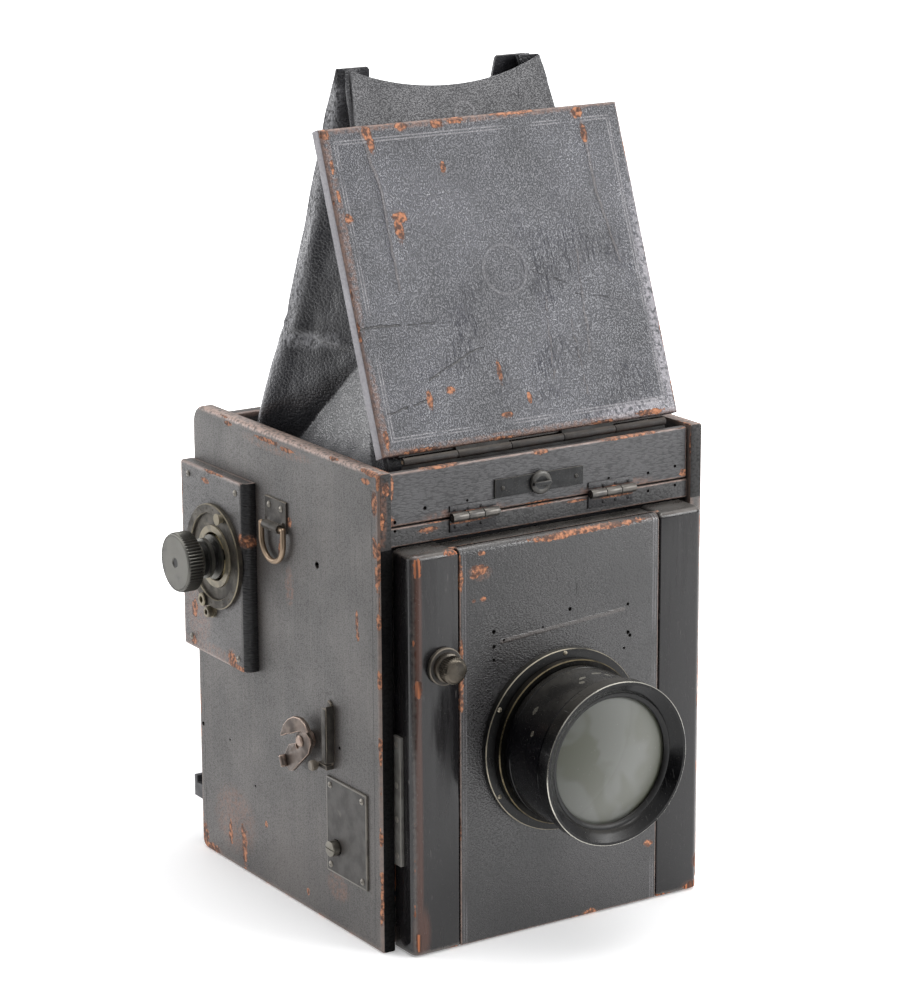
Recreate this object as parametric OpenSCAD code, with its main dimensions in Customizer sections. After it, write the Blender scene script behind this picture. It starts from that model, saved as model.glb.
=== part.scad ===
// Large wooden reflex camera covered in black leather, with its lid and viewing hood raised.
// The origin is the mouth of the tripod bush under the base, +Y runs from the lens to the plate
// and +Z points up. Lengths are in millimetres.

/* [Body] */
// Width across the two side boards
body_w = 193; // [185:1:215]
// Depth of the side boards
body_d = 184; // [182:1:200]
// Height of the side boards
body_h = 244; // [242:1:256]
// Thickness of each side board
board_t = 7.5; // [6:0.5:9]
// Radius of the rear top corner of a side board
board_corner_r = 10; // [6:1:16]
// Thickness of the base board
base_t = 8; // [6:0.5:10]
// Distance of the rear board's top below the tops of the side boards
rear_drop = 7; // [4:0.5:8]
// Thickness of the rear board
rear_t = 8; // [6:0.5:9]
// Thickness of the bulkhead behind the bellows
bulkhead_t = 7; // [5:0.5:9]
// Width of the picture gate in the rear board
gate_w = 160; // [120:1:164]
// Height of the picture gate in the rear board
gate_h = 121; // [90:1:126]

/* [Front rails] */
// Distance of the lower front rail's underside below the tops of the side boards
rail_drop = 38; // [36:0.5:38.5]
// Height of the lower front rail
rail_h = 9.4; // [8:0.2:10]
// Distance from the side boards' front edges to the face of the rail and the flap
rail_setback = 2.8; // [1:0.2:5]
// Thickness of the flap
flap_t = 4.3; // [3:0.1:4.6]
// Height of the flap
flap_h = 26.3; // [24:0.1:27]
// Depth of the rail that carries the lid
lid_rail_t = 6.9; // [5:0.1:8]

/* [Lid] */
// Width of the lid
lid_w = 176; // [160:1:177]
// Length of the lid
lid_l = 165; // [150:1:166]
// Thickness of the lid
lid_t = 7.5; // [6:0.5:8]
// Lean of the open lid from upright, in degrees
lid_lean = 20.4; // [10:0.1:30]
// Height of the lid's hinge above the tops of the side boards
lid_hinge_rise = 2; // [1:0.1:2.6]

/* [Hinges] */
// Outer radius of the flap hinge's knuckles
flap_knuckle_r = 2.25; // [1.8:0.05:2.6]
// Radius of the flap hinge's pins
flap_pin_r = 1; // [0.7:0.05:1.3]
// Length of each flap hinge
flap_hinge_l = 27; // [18:0.5:36]
// Distance from the middle of the flap to the middle of each of its hinges
flap_hinge_x = 41; // [30:0.5:50]
// Outer radius of the lid hinge's knuckles
lid_knuckle_r = 1.9; // [1.5:0.05:2.2]
// Radius of the lid hinge's pin
lid_pin_r = 0.9; // [0.6:0.05:1.1]
// Thickness of every hinge leaf
leaf_t = 0.8; // [0.6:0.1:1]

/* [Screen and hood] */
// Distance of the screen frame's underside below the tops of the side boards
screen_drop = 60; // [58:0.5:64]
// Height of the screen frame
screen_frame_h = 12; // [9:0.5:12]
// Thickness of the focusing screen
screen_t = 2.5; // [1.5:0.1:3]
// Thickness of the hood's leather
hood_t = 1.6; // [1:0.1:2]
// Half the width of the hood at its base
hood_base_x = 82; // [76:0.5:84]
// Half the width of the hood at its mouth
hood_top_x = 56; // [50:0.5:62]
// Height of the hood's mouth above the tops of the side boards
hood_h = 180; // [160:1:200]
// Depth of the hood's mouth from front to back
hood_mouth_d = 14; // [10:0.5:24]
// Depth of the curve cut for the face in the front panel
scoop_depth = 10.6; // [6:0.2:14]
// Half the width of the notch in the rear panel
notch_x = 36; // [24:1:44]
// Depth of the notch in the rear panel
notch_depth = 18; // [10:1:24]

/* [Front standard] */
// Width of the sliding front standard
standard_w = 173.2; // [168:0.2:173.6]
// Gap between the standard's top and the lower front rail
standard_gap = 1; // [0.6:0.1:4]
// Depth of the standard from front to back
standard_d = 18.7; // [16:0.1:19.4]
// How far the standard's face stands in front of the side boards
standard_forward = 14; // [13:0.5:18]
// Radius of the standard's front edges
standard_edge_r = 4; // [2:0.5:5]
// Half the width of the lens panel where it shows between the stiles
panel_x = 59.5; // [52:0.5:64]
// Thickness of the lens panel
panel_t = 6; // [5:0.2:8]
// Depth of the tongue on each side of the lens panel
tongue_d = 3; // [2:0.2:5]
// Thickness of the tongue
tongue_t = 2.4; // [1.6:0.1:3]
// Distance of the clamp knob below the standard's top
clamp_drop = 57; // [35:1:80]
// Distance of the clamp knob from the middle
clamp_x = 69; // [66:0.5:74]

/* [Focusing] */
// Height of the focusing shaft
shaft_z = 43.5; // [38:0.5:43.5]
// Distance of the focusing shaft behind the side boards' front edges
shaft_setback = 41; // [36:0.5:46]
// Radius of the focusing shaft
shaft_r = 3; // [2.4:0.1:3.6]
// Number of teeth on each focusing pinion
pinion_teeth = 16; // [16:1:18]
// Width of each rack strip
rack_w = 2; // [1.4:0.1:2]
// How far the standard racks out
rack_out = 60; // [40:1:60]
// Radius of the focusing knob
focus_knob_r = 14; // [10:0.5:20]
// Module of every gear, the pitch diameter over the number of teeth
gear_module = 1; // [0.9:0.05:1]

/* [Lens] */
// Height of the lens axis
axis_z = 98.6; // [92:0.2:106]
// Radius of the lens flange
flange_r = 46.8; // [44:0.2:50]
// Thickness of the lens flange
flange_t = 4; // [3:0.2:6]
// Outer radius of the aperture ring
aperture_ring_r = 42.3; // [41:0.1:43.5]
// Length of the aperture ring
aperture_ring_l = 4; // [3:0.2:6]
// Outer radius of the lens barrel
barrel_r = 39.6; // [38.6:0.1:40.2]
// Distance of the lens's front rim in front of the standard
lens_reach = 48.8; // [42:0.2:56]
// Outer radius of the front rim
rim_r = 41.5; // [41:0.1:43]
// Length of the front rim
rim_l = 8.4; // [6:0.2:10]
// Clear radius of the front lens
glass_r = 32.5; // [28:0.5:33.5]
// Radius of the barrel where it passes through the panel
neck_r = 36; // [35.5:0.1:37]

/* [Mirror] */
// Distance of the mirror's hinge below the screen frame
mirror_hinge_drop = 29.8; // [28:0.2:32]
// Distance of the mirror's hinge in front of the side boards' rear edges
mirror_hinge_setback = 27.2; // [26:0.2:29]
// Length of the mirror frame from its hinge
mirror_l = 142; // [120:1:142]
// Width of the mirror frame
mirror_w = 145; // [130:1:150]

/* [Shutter] */
// Distance of the winding shaft below the tops of the side boards
winding_drop = 73; // [71:0.5:74]
// Distance of the winding shaft in front of the side boards' rear edges
winding_setback = 36; // [34:0.5:37]
// Radius of the winding knob
winding_knob_r = 15.6; // [12:0.2:18]
// Distance of the winding knob's face from the camera's side
winding_reach = 31.5; // [28:0.5:38]
// Number of grooves round the winding knob
knob_grooves = 56; // [40:2:64]
// Teeth of the gear on the winding shaft
winding_teeth = 32; // [30:1:32]
// Teeth of the gear on the upper roller
roller_teeth = 24; // [22:1:24]
// Radius of each shutter roller
roller_r = 8.5; // [7:0.1:8.6]
// Distance of the rollers in front of the side boards' rear edges
roller_setback = 18; // [17.9:0.1:18.4]
// Height of the lower roller
lower_roller_z = 22; // [19:0.5:24]
// Thickness of the gear cover on the left side
cover_t = 7.5; // [7:0.1:9]
// Depth of the gear cover from front to back
cover_d = 65.5; // [65:0.5:70]
// Distance of the gear cover's top below the tops of the side boards
cover_drop = 29; // [22:1:30]
// Height of the gear cover
cover_h = 100; // [90:1:110]
// Radius of the dial plate
dial_r = 27.7; // [24:0.1:30]

/* [Side fittings] */
// Radius of the wire of each D ring
ring_wire_r = 1.15; // [0.8:0.05:1.4]
// Half the outer width of each D ring
ring_x = 12; // [10:0.5:14]
// Distance of each D ring's straight bar below the tops of the side boards
ring_bar_drop = 46.5; // [38:0.5:54]
// Distance of the D rings behind the side boards' front edges
ring_setback = 97; // [90:1:108]
// Height of the release lever's pivot
lever_z = 93.3; // [88:0.5:100]
// Distance of the release lever's pivot behind the side boards' front edges
lever_setback = 66.5; // [62:0.5:72]
// Radius of the release lever's shaft
lever_shaft_r = 2.5; // [1.8:0.1:3]
// Side length of the square bearing plate in depth
bearing_plate_d = 38.3; // [34:0.1:40]
// Height of the square bearing plate
bearing_plate_h = 50; // [40:1:54]

/* [Back] */
// Half the width of the back frame
back_x = 92; // [88:0.5:96]
// Thickness of the back frame's plate
back_plate_t = 6; // [4:0.5:8]
// Depth of the grooved rails behind the back frame's plate
back_rail_d = 10; // [9:0.5:12]
// Width of the groove that holds a plate holder
holder_slot = 5.2; // [4.4:0.1:6]

/* [Hidden] */
$fn = 64;

leather = "#3b3b3d";
black_wood = "#242426";
bare_wood = "#8a5a35";
gunmetal = "#5b5a52";
bronze = "#7a6248";
brass = "#a08850";
enamel = "#1b1b1d";
glass = "#9aa79b";

// Clearances between pieces
running = 0.05;
gap = 0.3;
slide_gap = 0.4;

// Planes of the body
side_x = body_w / 2;
inner_x = side_x - board_t;
front_y = -body_d / 2;
back_y = body_d / 2;
rear_h = body_h - rear_drop;
rail_z = body_h - rail_drop;
rail_y = front_y + rail_setback;
flap_back_y = rail_y + flap_t;
lid_rail_y = flap_back_y + 1;
bulkhead_y = lid_rail_y + lid_rail_t;
rear_y = back_y - rear_t;

// Hinges at the front
rail_top = rail_z + rail_h;
flap_z = rail_top + 0.9;
flap_axis = [rail_y - leaf_t - 0.05 - flap_knuckle_r + 0.7, flap_z + 0.2];
lid_axis = [flap_back_y + 0.6, body_h + lid_hinge_rise];
lid_rail_top = lid_axis[1] - lid_t - 0.7;
screw_r = 1.9;

// Standard, lens panel and lens
standard_y = front_y - standard_forward;
standard_back = standard_y + standard_d;
standard_foot = 1;
standard_top = rail_z - standard_gap;
clamp_z = standard_top - clamp_drop;
panel_hole_r = neck_r + 0.1;
lens_front = standard_y - lens_reach;
flange_y = standard_y - flange_t;
rise = 10;

// Focusing gear
shaft_y = front_y + shaft_setback;
tooth_out = 0.8 * gear_module;
tooth_in = 1.1 * gear_module;
pressure = 20;
backlash = 0.3;
pinion_r = pinion_teeth * gear_module / 2;
rack_pitch = PI * gear_module;
rack_z = shaft_z + pinion_r;
rack_x = standard_w / 2;
arm_top = 65;

// Mirror
screen_z = body_h - screen_drop;
mirror_hinge_z = screen_z - mirror_hinge_drop;
mirror_y = back_y - mirror_hinge_setback;
mirror_rod_r = 2.5;
mirror_face = 4;
mirror_middle_y = mirror_y - (mirror_hinge_z - axis_z) - mirror_face * sqrt(2);
mirror_glass_t = 3;

// Shutter
winding_z = body_h - winding_drop;
winding_y = back_y - winding_setback;
roller_y = back_y - roller_setback;
gear_distance = (winding_teeth + roller_teeth) * gear_module / 2;
roller_dy = roller_y - winding_y;
upper_roller_z = winding_z + sqrt(gear_distance ^ 2 - roller_dy ^ 2);
mesh_angle = atan2(upper_roller_z - winding_z, roller_dy);
winding_shaft_r = 3;
roller_shaft_r = 2.5;
cover_y = back_y - cover_d;
cover_z = body_h - cover_drop - cover_h;
cover_x = -side_x - cover_t;
dial_t = 2.5;
dial_x = cover_x - dial_t;
gear_t = 3;
gear_x = -side_x - gap - gear_t;
blind_t = 0.5;
blind_y = roller_y + roller_r + 0.1;

// Screen and hood
screen_front = mirror_middle_y - gate_h / 2 - 1.4;
screen_back = mirror_y - 4;
screen_x = inner_x - 5;
hood_base_z = screen_z + screen_frame_h + 0.2;
hood_front_y = bulkhead_y + bulkhead_t + 3 * gap;
hood_rear_y = back_y - 32;
hood_bend_z = body_h - 4;
hood_top_z = body_h + hood_h;
hood_bend_y = lid_axis[0] + lid_t + 6.3 - 2;
hood_front_top_y = hood_bend_y + (hood_top_z - hood_bend_z) * tan(lid_lean);
hood_rear_top_y = hood_front_top_y + hood_mouth_d;
hood_kink = [hood_base_x - 10, back_y - 56.7, body_h + 50.7];
hood_knee = [hood_base_x - 2, back_y - 41, body_h - 2.4];
gusset_fold = [hood_top_x + 2, hood_front_top_y - 6.3, body_h + 42.5];
gusset_crease = [hood_base_x - 5, back_y - 61, body_h];
gusset_valley_x = hood_top_x - 10;

// Side fittings
ring_y = front_y + ring_setback;
ring_bar_x = side_x + 3.1;
ring_bar_z = body_h - ring_bar_drop;
ring_drop = 19.1;
loop_r = ring_wire_r + 1.2;
lever_y = front_y + lever_setback;
lever_x = -side_x - 6.5;
lever_t = 2;
guard_y = lever_y - 21.9;
guard_z = [lever_z - 7.6, lever_z + 25.7];
bearing_plate_y = shaft_y - 28.6;
bearing_plate_z = shaft_z - 14.5;
plate_t = 1.2;

// Back
back_z = [18.8, rail_z - 1];
back_plate_y = back_y + back_plate_t;

// A box between two corners given axis by axis
module block(x, y, z) {
  translate([x[0], y[0], z[0]]) cube([x[1] - x[0], y[1] - y[0], z[1] - z[0]]);
}

// A round bar along X between two places
module bar_x(x, y, z, r) {
  translate([x[0], y, z]) rotate([0, 90, 0]) cylinder(r = r, h = x[1] - x[0]);
}

// A round bar along Y between two places
module bar_y(x, y, z, r) {
  translate([x, y[1], z]) rotate([90, 0, 0]) cylinder(r = r, h = y[1] - y[0]);
}

// A tube along X
module tube_x(x, y, z, outer, inner) {
  difference() {
    bar_x(x, y, z, outer);
    bar_x([x[0] - 1, x[1] + 1], y, z, inner);
  }
}

// A tube along Y
module tube_y(x, y, z, outer, inner) {
  difference() {
    bar_y(x, y, z, outer);
    bar_y(x, [y[0] - 1, y[1] + 1], z, inner);
  }
}

// A plate in the X-Z plane with a rectangular window, both given axis by axis
module framed(x, y, z, window_x, window_z) {
  difference() {
    block(x, y, z);
    block(window_x, [y[0] - 1, y[1] + 1], window_z);
  }
}

// A flat shape drawn in Y and Z, given a thickness along X
module side_plate(x, points) {
  translate([x[0], 0, 0]) rotate([90, 0, 90]) linear_extrude(x[1] - x[0]) polygon(points);
}

// A domed screw head with a slot, its seat at the origin and its axis along +Z
module screw_head(r = screw_r, h = 0.9) {
  difference() {
    cylinder(r = r, h = h, $fn = 32);
    translate([-r, -0.3, h - 0.4]) cube([2 * r, 0.6, 1]);
  }
}

// Both sides of the camera, the right one as the mirror image of the left
module both_sides() {
  children();
  mirror([1, 0, 0]) children();
}

function involute(angle) = tan(angle) * 180 / PI - angle;

// Half the angle that a tooth covers at radius r, on a gear with the given pitch radius
function tooth_half_angle(r, pitch_r, teeth) =
  let (base_r = pitch_r * cos(pressure))
  90 / teeth - backlash / 4 / pitch_r * 180 / PI + involute(pressure)
  - involute(acos(min(1, base_r / max(r, base_r))));

// Outline of an involute gear, with one tooth centred on the angle start
function gear_points(teeth, start) =
  let (
    pitch_r = teeth * gear_module / 2,
    radii = [for (k = [0 : 4]) pitch_r - tooth_in + k * (tooth_in + tooth_out) / 4],
    steps = [for (r = radii) [r, -1], for (k = [4 : -1 : 0]) [radii[k], 1]]
  )
  [
    for (i = [0 : teeth - 1], s = steps)
      let (a = start + i * 360 / teeth + s[1] * tooth_half_angle(s[0], pitch_r, teeth))
      s[0] * [cos(a), sin(a)]
  ];

// A gear lying in the Y-Z plane
module gear_x_axis(x, y, z, teeth, start) {
  translate([x[0], y, z]) rotate([90, 0, 90]) linear_extrude(x[1] - x[0]) polygon(gear_points(teeth, start));
}

// Outline of a knurled knob, with square grooves
function knurl_points(r, grooves, depth) = [
  for (i = [0 : grooves - 1], s = [[0, r], [0.5, r], [0.58, r - depth], [0.92, r - depth]])
    let (a = (i + s[0]) * 360 / grooves)
    s[1] * [cos(a), sin(a)]
];

module knurled_x(x, y, z, r, grooves, depth) {
  translate([x[0], y, z]) rotate([90, 0, 90]) linear_extrude(x[1] - x[0])
    polygon(knurl_points(r, grooves, depth));
}

// Outline of a side board: square at the front, rounded at the rear corners
module board_outline() {
  small_r = 5;
  difference() {
    translate([front_y, 0]) square([body_d, body_h]);
    translate([back_y - board_corner_r, body_h - board_corner_r]) difference() {
      square(board_corner_r + 1);
      circle(r = board_corner_r);
    }
    translate([back_y - small_r, -1]) difference() {
      square([small_r + 1, small_r + 1]);
      translate([0, small_r + 1]) circle(r = small_r);
    }
  }
}

module side_board() {
  difference() {
    translate([-side_x, 0, 0]) rotate([90, 0, 90]) linear_extrude(board_t) board_outline();
    bar_x([-side_x - 1, -inner_x + 1], shaft_y, shaft_z, shaft_r + running);
    bar_x([-side_x - 1, -inner_x + 1], roller_y, upper_roller_z, roller_shaft_r + running);
    bar_x([-side_x + 2, -inner_x + 1], roller_y, lower_roller_z, roller_shaft_r + running);
    bar_x([-inner_x - 4.2, -inner_x + 1], mirror_y, mirror_hinge_z, mirror_rod_r + running);
  }
}

module left_board() {
  color(leather) difference() {
    side_board();
    bar_x([-side_x - 1, -inner_x + 1], winding_y, winding_z, winding_shaft_r + running);
    bar_x([-side_x - 1, -inner_x + 1], lever_y, lever_z, lever_shaft_r + running);
  }
}

module right_board() {
  color(leather) mirror([1, 0, 0]) side_board();
}

module base_board() {
  color(leather) difference() {
    block([-inner_x, inner_x], [standard_back + 5, rear_y], [0, base_t]);
    translate([0, 0, -1]) cylinder(r = 12, h = base_t + 2);
  }
}

// Threaded brass bush for a tripod screw, flush with the underside of the base
module tripod_bush() {
  color(brass) difference() {
    union() {
      cylinder(r = 12, h = base_t);
      translate([0, 0, base_t]) cylinder(r = 16, h = 3);
    }
    translate([0, 0, -1]) cylinder(r = 4, h = base_t + 5);
  }
}

module rear_board() {
  color(leather)
    framed([-inner_x, inner_x], [rear_y, back_y], [0, rear_h],
      [-gate_w / 2, gate_w / 2], [axis_z - gate_h / 2, axis_z + gate_h / 2]);
}

// Board behind the bellows, notched at each side for the rack arms
module bulkhead() {
  color(black_wood) difference() {
    block([-inner_x, inner_x], [bulkhead_y, bulkhead_y + bulkhead_t], [base_t, rail_z]);
    block([-inner_x + 13, inner_x - 13], [bulkhead_y - 1, bulkhead_y + bulkhead_t + 1],
      [base_t + 17, screen_z - 8]);
    both_sides()
      block([-inner_x - 1, -inner_x + rack_w + 3], [bulkhead_y - 1, bulkhead_y + bulkhead_t + 1],
        [rack_z - 4, arm_top + 2]);
  }
}

module front_rail() {
  color(leather) block([-inner_x, inner_x], [rail_y, bulkhead_y], [rail_z, rail_top]);
}

module lid_rail() {
  color(leather) block([-inner_x, inner_x], [lid_rail_y, bulkhead_y], [rail_top, lid_rail_top]);
}

module screen_frame() {
  ledge_z = screen_z + screen_frame_h / 2;
  color(black_wood) difference() {
    block([-inner_x, inner_x], [bulkhead_y + bulkhead_t, screen_back + 2],
      [screen_z, screen_z + screen_frame_h]);
    block([-screen_x + 3, screen_x - 3], [screen_front + 3, screen_back - 3], [screen_z - 1, ledge_z + 1]);
    block([-screen_x, screen_x], [screen_front, screen_back], [ledge_z, screen_z + screen_frame_h + 1]);
  }
}

module focusing_screen() {
  ledge_z = screen_z + screen_frame_h / 2;
  color(glass)
    block([-screen_x + gap, screen_x - gap], [screen_front + gap, screen_back - gap],
      [ledge_z, ledge_z + screen_t]);
}

// Places along X of the knuckles of one leaf of a flap hinge: two for the rail, one for the flap
function flap_knuckles(low) = low
  ? [[-flap_hinge_l / 2, -flap_hinge_l / 6 - 0.2], [flap_hinge_l / 6 + 0.2, flap_hinge_l / 2]]
  : [[-flap_hinge_l / 6 + 0.2, flap_hinge_l / 6 - 0.2]];

// One leaf of a flap hinge, against the face of the rail or the flap
module flap_leaf(low) {
  reach = low ? [rail_top - 6.5, flap_axis[1] - flap_knuckle_r - 0.25]
              : [flap_axis[1] + flap_knuckle_r + 0.25, flap_z + 5.6];
  for (k = flap_knuckles(low)) {
    tube_x(k, flap_axis[0], flap_axis[1], flap_knuckle_r, flap_pin_r + running);
    difference() {
      block(k, [rail_y - leaf_t, rail_y], [min(reach[0], flap_axis[1]), max(reach[1], flap_axis[1])]);
      bar_x([k[0] - 1, k[1] + 1], flap_axis[0], flap_axis[1], flap_pin_r + running);
    }
  }
  block([-flap_hinge_l / 2, flap_hinge_l / 2], [rail_y - leaf_t, rail_y], reach);
}

module flap_hinge_lower_leaves() {
  color(gunmetal) for (side = [-1, 1]) translate([side * flap_hinge_x, 0, 0]) flap_leaf(true);
}

module flap_hinge_upper_leaves() {
  color(gunmetal) for (side = [-1, 1]) translate([side * flap_hinge_x, 0, 0]) flap_leaf(false);
}

module flap_hinge_pins() {
  half = flap_hinge_l / 2;
  color(gunmetal) for (side = [-1, 1])
    bar_x([side * flap_hinge_x - half, side * flap_hinge_x + half], flap_axis[0], flap_axis[1], flap_pin_r);
}

// Front flap, hinged at its foot
module flap() {
  color(leather)
    block([-inner_x + slide_gap, inner_x - slide_gap], [rail_y, flap_back_y], [flap_z, flap_z + flap_h]);
}

module swivel_plate() {
  color(gunmetal) difference() {
    block([-28.4, 24], [rail_y - plate_t, rail_y], [flap_z + 6, flap_z + 15.2]);
    bar_y(-2, [rail_y - 3, rail_y + 1], flap_z + 10.6, 2 + running);
  }
}

// Turn button that locks the flap, on a short spindle
module turn_button() {
  face = rail_y - plate_t - gap;
  color(gunmetal) {
    bar_y(-2, [face - 1, rail_y], flap_z + 10.6, 2);
    bar_y(-2, [face - 1.4, face], flap_z + 10.6, 6);
    block([-7.2, 3.2], [face - 3, face - 1.4], [flap_z + 9.8, flap_z + 11.4]);
  }
}

// Places along X of the knuckles of the lid hinge: three for the rail and two for the lid
lid_hinge_half = 78;
function lid_knuckles(low) = [
  for (i = [low ? 0 : 1 : 2 : 4])
    lid_hinge_half * [(2 * i - 5) / 5, (2 * i - 3) / 5] + [0.2, -0.2]
];

module lid_hinge_leaf() {
  plate_y = [lid_rail_y - leaf_t, lid_rail_y];
  color(gunmetal) {
    block([-lid_hinge_half, lid_hinge_half], plate_y, [lid_rail_top - 14, lid_axis[1] - lid_knuckle_r - 0.3]);
    for (k = lid_knuckles(true)) difference() {
      union() {
        bar_x(k, lid_axis[0], lid_axis[1], lid_knuckle_r);
        block(k, [lid_axis[0], lid_rail_y], [lid_axis[1] - lid_knuckle_r - 0.5, lid_axis[1] - 1]);
      }
      bar_x([k[0] - 1, k[1] + 1], lid_axis[0], lid_axis[1], lid_pin_r + running);
    }
  }
}

module lid_hinge_pin() {
  color(gunmetal) bar_x([-lid_hinge_half, lid_hinge_half], lid_axis[0], lid_axis[1], lid_pin_r);
}

// Places what is drawn upright over the lid hinge into the open lid's lean
module leaning() {
  translate([0, lid_axis[0], lid_axis[1]]) rotate([-lid_lean, 0, 0]) children();
}

lid_foot = lid_knuckle_r + 1.6;

// Lid board, hinged at its lower front edge
module lid() {
  color(leather) leaning() block([-lid_w / 2, lid_w / 2], [0, lid_t], [lid_foot, lid_l]);
}

// Hinge leaf screwed to the lid's lower edge
module lid_leaf() {
  color(gunmetal) leaning() {
    block([-lid_hinge_half, lid_hinge_half], [lid_knuckle_r + 0.3, lid_t], [lid_foot - leaf_t, lid_foot]);
    for (k = lid_knuckles(false)) difference() {
      union() {
        bar_x(k, 0, 0, lid_knuckle_r);
        block(k, [0, lid_knuckle_r + 0.4], [1, lid_foot]);
      }
      bar_x([k[0] - 1, k[1] + 1], 0, 0, lid_pin_r + running);
    }
  }
}

// A bent sheet across the hood: each station gives half its width, its front face and its height
module bent_sheet(stations, t) {
  last = len(stations) - 1;
  corners = [
    for (s = stations, c = [[-1, 0], [1, 0], [1, 1], [-1, 1]]) [c[0] * s[0], s[1] + c[1] * t, s[2]]
  ];
  sides = [
    for (i = [0 : last - 1], k = [0 : 3])
      [4 * i + k, 4 * i + 4 + k, 4 * i + 4 + (k + 1) % 4, 4 * i + (k + 1) % 4]
  ];
  polyhedron(corners, concat([[0, 1, 2, 3]], sides, [[for (k = [3 : -1 : 0]) 4 * last + k]]));
}

// Front panel of the hood, with its mouth curved for the face
module hood_front() {
  scoop_r = (hood_top_x ^ 2 + scoop_depth ^ 2) / (2 * scoop_depth);
  color(leather) difference() {
    bent_sheet([
      [hood_base_x, hood_front_y, hood_base_z],
      [hood_base_x - 4, hood_bend_y, hood_bend_z],
      [hood_top_x, hood_front_top_y, hood_top_z]
    ], hood_t);
    bar_y(0, [hood_front_top_y - 60, hood_front_top_y + 20], hood_top_z - scoop_depth + scoop_r, scoop_r);
  }
}

// Rear panel of the hood, with a notch in its upper edge
module hood_rear() {
  color(leather) difference() {
    bent_sheet([
      [hood_base_x, hood_rear_y - hood_t, hood_base_z],
      [hood_knee[0] - 1, hood_knee[1] - hood_t, hood_knee[2]],
      [hood_kink[0], hood_kink[1] - hood_t, hood_kink[2]],
      [hood_top_x, hood_rear_top_y - hood_t, hood_top_z - 0.6]
    ], hood_t);
    block([-notch_x, notch_x], [hood_rear_top_y - 20, hood_rear_top_y + 20],
      [hood_top_z - notch_depth, hood_top_z + 1]);
  }
}

// Left side of the hood, folded inwards along its valley and creased down to the rear corner
module gusset() {
  seam = hood_t + gap;
  outer = [
    [-hood_base_x, hood_front_y + seam, hood_base_z],
    [-hood_base_x + 4, hood_bend_y + seam, hood_bend_z],
    [-hood_top_x, hood_front_top_y + seam, hood_top_z],
    [-gusset_valley_x, (hood_front_top_y + hood_rear_top_y) / 2, hood_top_z - 0.5],
    [-hood_top_x, hood_rear_top_y - seam, hood_top_z - 0.6],
    [-hood_kink[0], hood_kink[1] - seam, hood_kink[2]],
    [-hood_knee[0], hood_knee[1] - seam, hood_knee[2]],
    [-hood_base_x, hood_rear_y - seam, hood_base_z],
    [-gusset_fold[0], gusset_fold[1], gusset_fold[2]],
    [-gusset_crease[0], gusset_crease[1], gusset_crease[2]]
  ];
  count = len(outer);
  rim = 8;
  faces = [
    [0, 8, 1], [1, 8, 2], [2, 8, 3], [3, 8, 4], [4, 8, 5],
    [5, 8, 9], [5, 9, 6], [6, 9, 7], [7, 9, 0], [0, 9, 8]
  ];
  inner_faces = [for (f = faces) [count + f[2], count + f[1], count + f[0]]];
  edges = [for (i = [0 : rim - 1]) let (j = (i + 1) % rim) [i, j, count + j, count + i]];
  polyhedron(concat(outer, [for (p = outer) p - [hood_t, 0, 0]]), concat(faces, inner_faces, edges));
}

module hood_left_gusset() {
  color(leather) gusset();
}

module hood_right_gusset() {
  color(leather) mirror([1, 0, 0]) gusset();
}

// Strap lug folded over the bar of a D ring
module lug() {
  loop_l = 15;
  plate_x = [-side_x - plate_t, -side_x];
  difference() {
    union() {
      block(plate_x, [ring_y - 10.5, ring_y + 10.5], [ring_bar_z, ring_bar_z + 14]);
      bar_y(-ring_bar_x, [ring_y - loop_l / 2, ring_y + loop_l / 2], ring_bar_z, loop_r);
      block([-ring_bar_x, -side_x], [ring_y - loop_l / 2, ring_y + loop_l / 2],
        [ring_bar_z, ring_bar_z + loop_r]);
    }
    bar_y(-ring_bar_x, [ring_y - loop_l, ring_y + loop_l], ring_bar_z, ring_wire_r + running);
  }
}

module strap_lugs() {
  color(gunmetal) both_sides() lug();
}

// D ring: a straight bar held by the lug and a bow that hangs below it
module d_ring() {
  bow_r = ring_x - ring_wire_r;
  leg = ring_drop - ring_wire_r - bow_r;
  translate([-ring_bar_x, ring_y, ring_bar_z]) {
    bar_y(0, [-bow_r, bow_r], 0, ring_wire_r, $fn = 32);
    for (side = [-1, 1]) translate([0, side * bow_r, 0]) {
      sphere(r = ring_wire_r, $fn = 32);
      translate([0, 0, -leg]) cylinder(r = ring_wire_r, h = leg, $fn = 32);
    }
    translate([0, 0, -leg]) rotate([0, 90, 0]) rotate([0, 0, -90])
      rotate_extrude(angle = 180) translate([bow_r, 0]) circle(r = ring_wire_r, $fn = 32);
  }
}

module left_d_ring() {
  color(bronze) d_ring();
}

module right_d_ring() {
  color(bronze) mirror([1, 0, 0]) d_ring();
}

// Raised cover over the winding gears, hollow behind
module gear_cover() {
  wall = 2;
  color(leather) difference() {
    block([cover_x, -side_x], [cover_y, back_y], [cover_z, cover_z + cover_h]);
    difference() {
      block([cover_x - 1, cover_x + 3], [cover_y - 1, cover_y + 3], [cover_z - 1, cover_z + cover_h + 1]);
      translate([cover_x + 3, cover_y + 3, cover_z - 2]) cylinder(r = 3, h = cover_h + 4);
    }
    bar_x([cover_x + wall, -side_x + 1], winding_y, winding_z, (winding_teeth / 2 + 1.6) * gear_module);
    bar_x([cover_x + wall, -side_x + 1], roller_y, upper_roller_z, (roller_teeth / 2 + 1.6) * gear_module);
    bar_x([cover_x - 1, cover_x + wall + 1], winding_y, winding_z, winding_shaft_r + running);
  }
}

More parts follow.
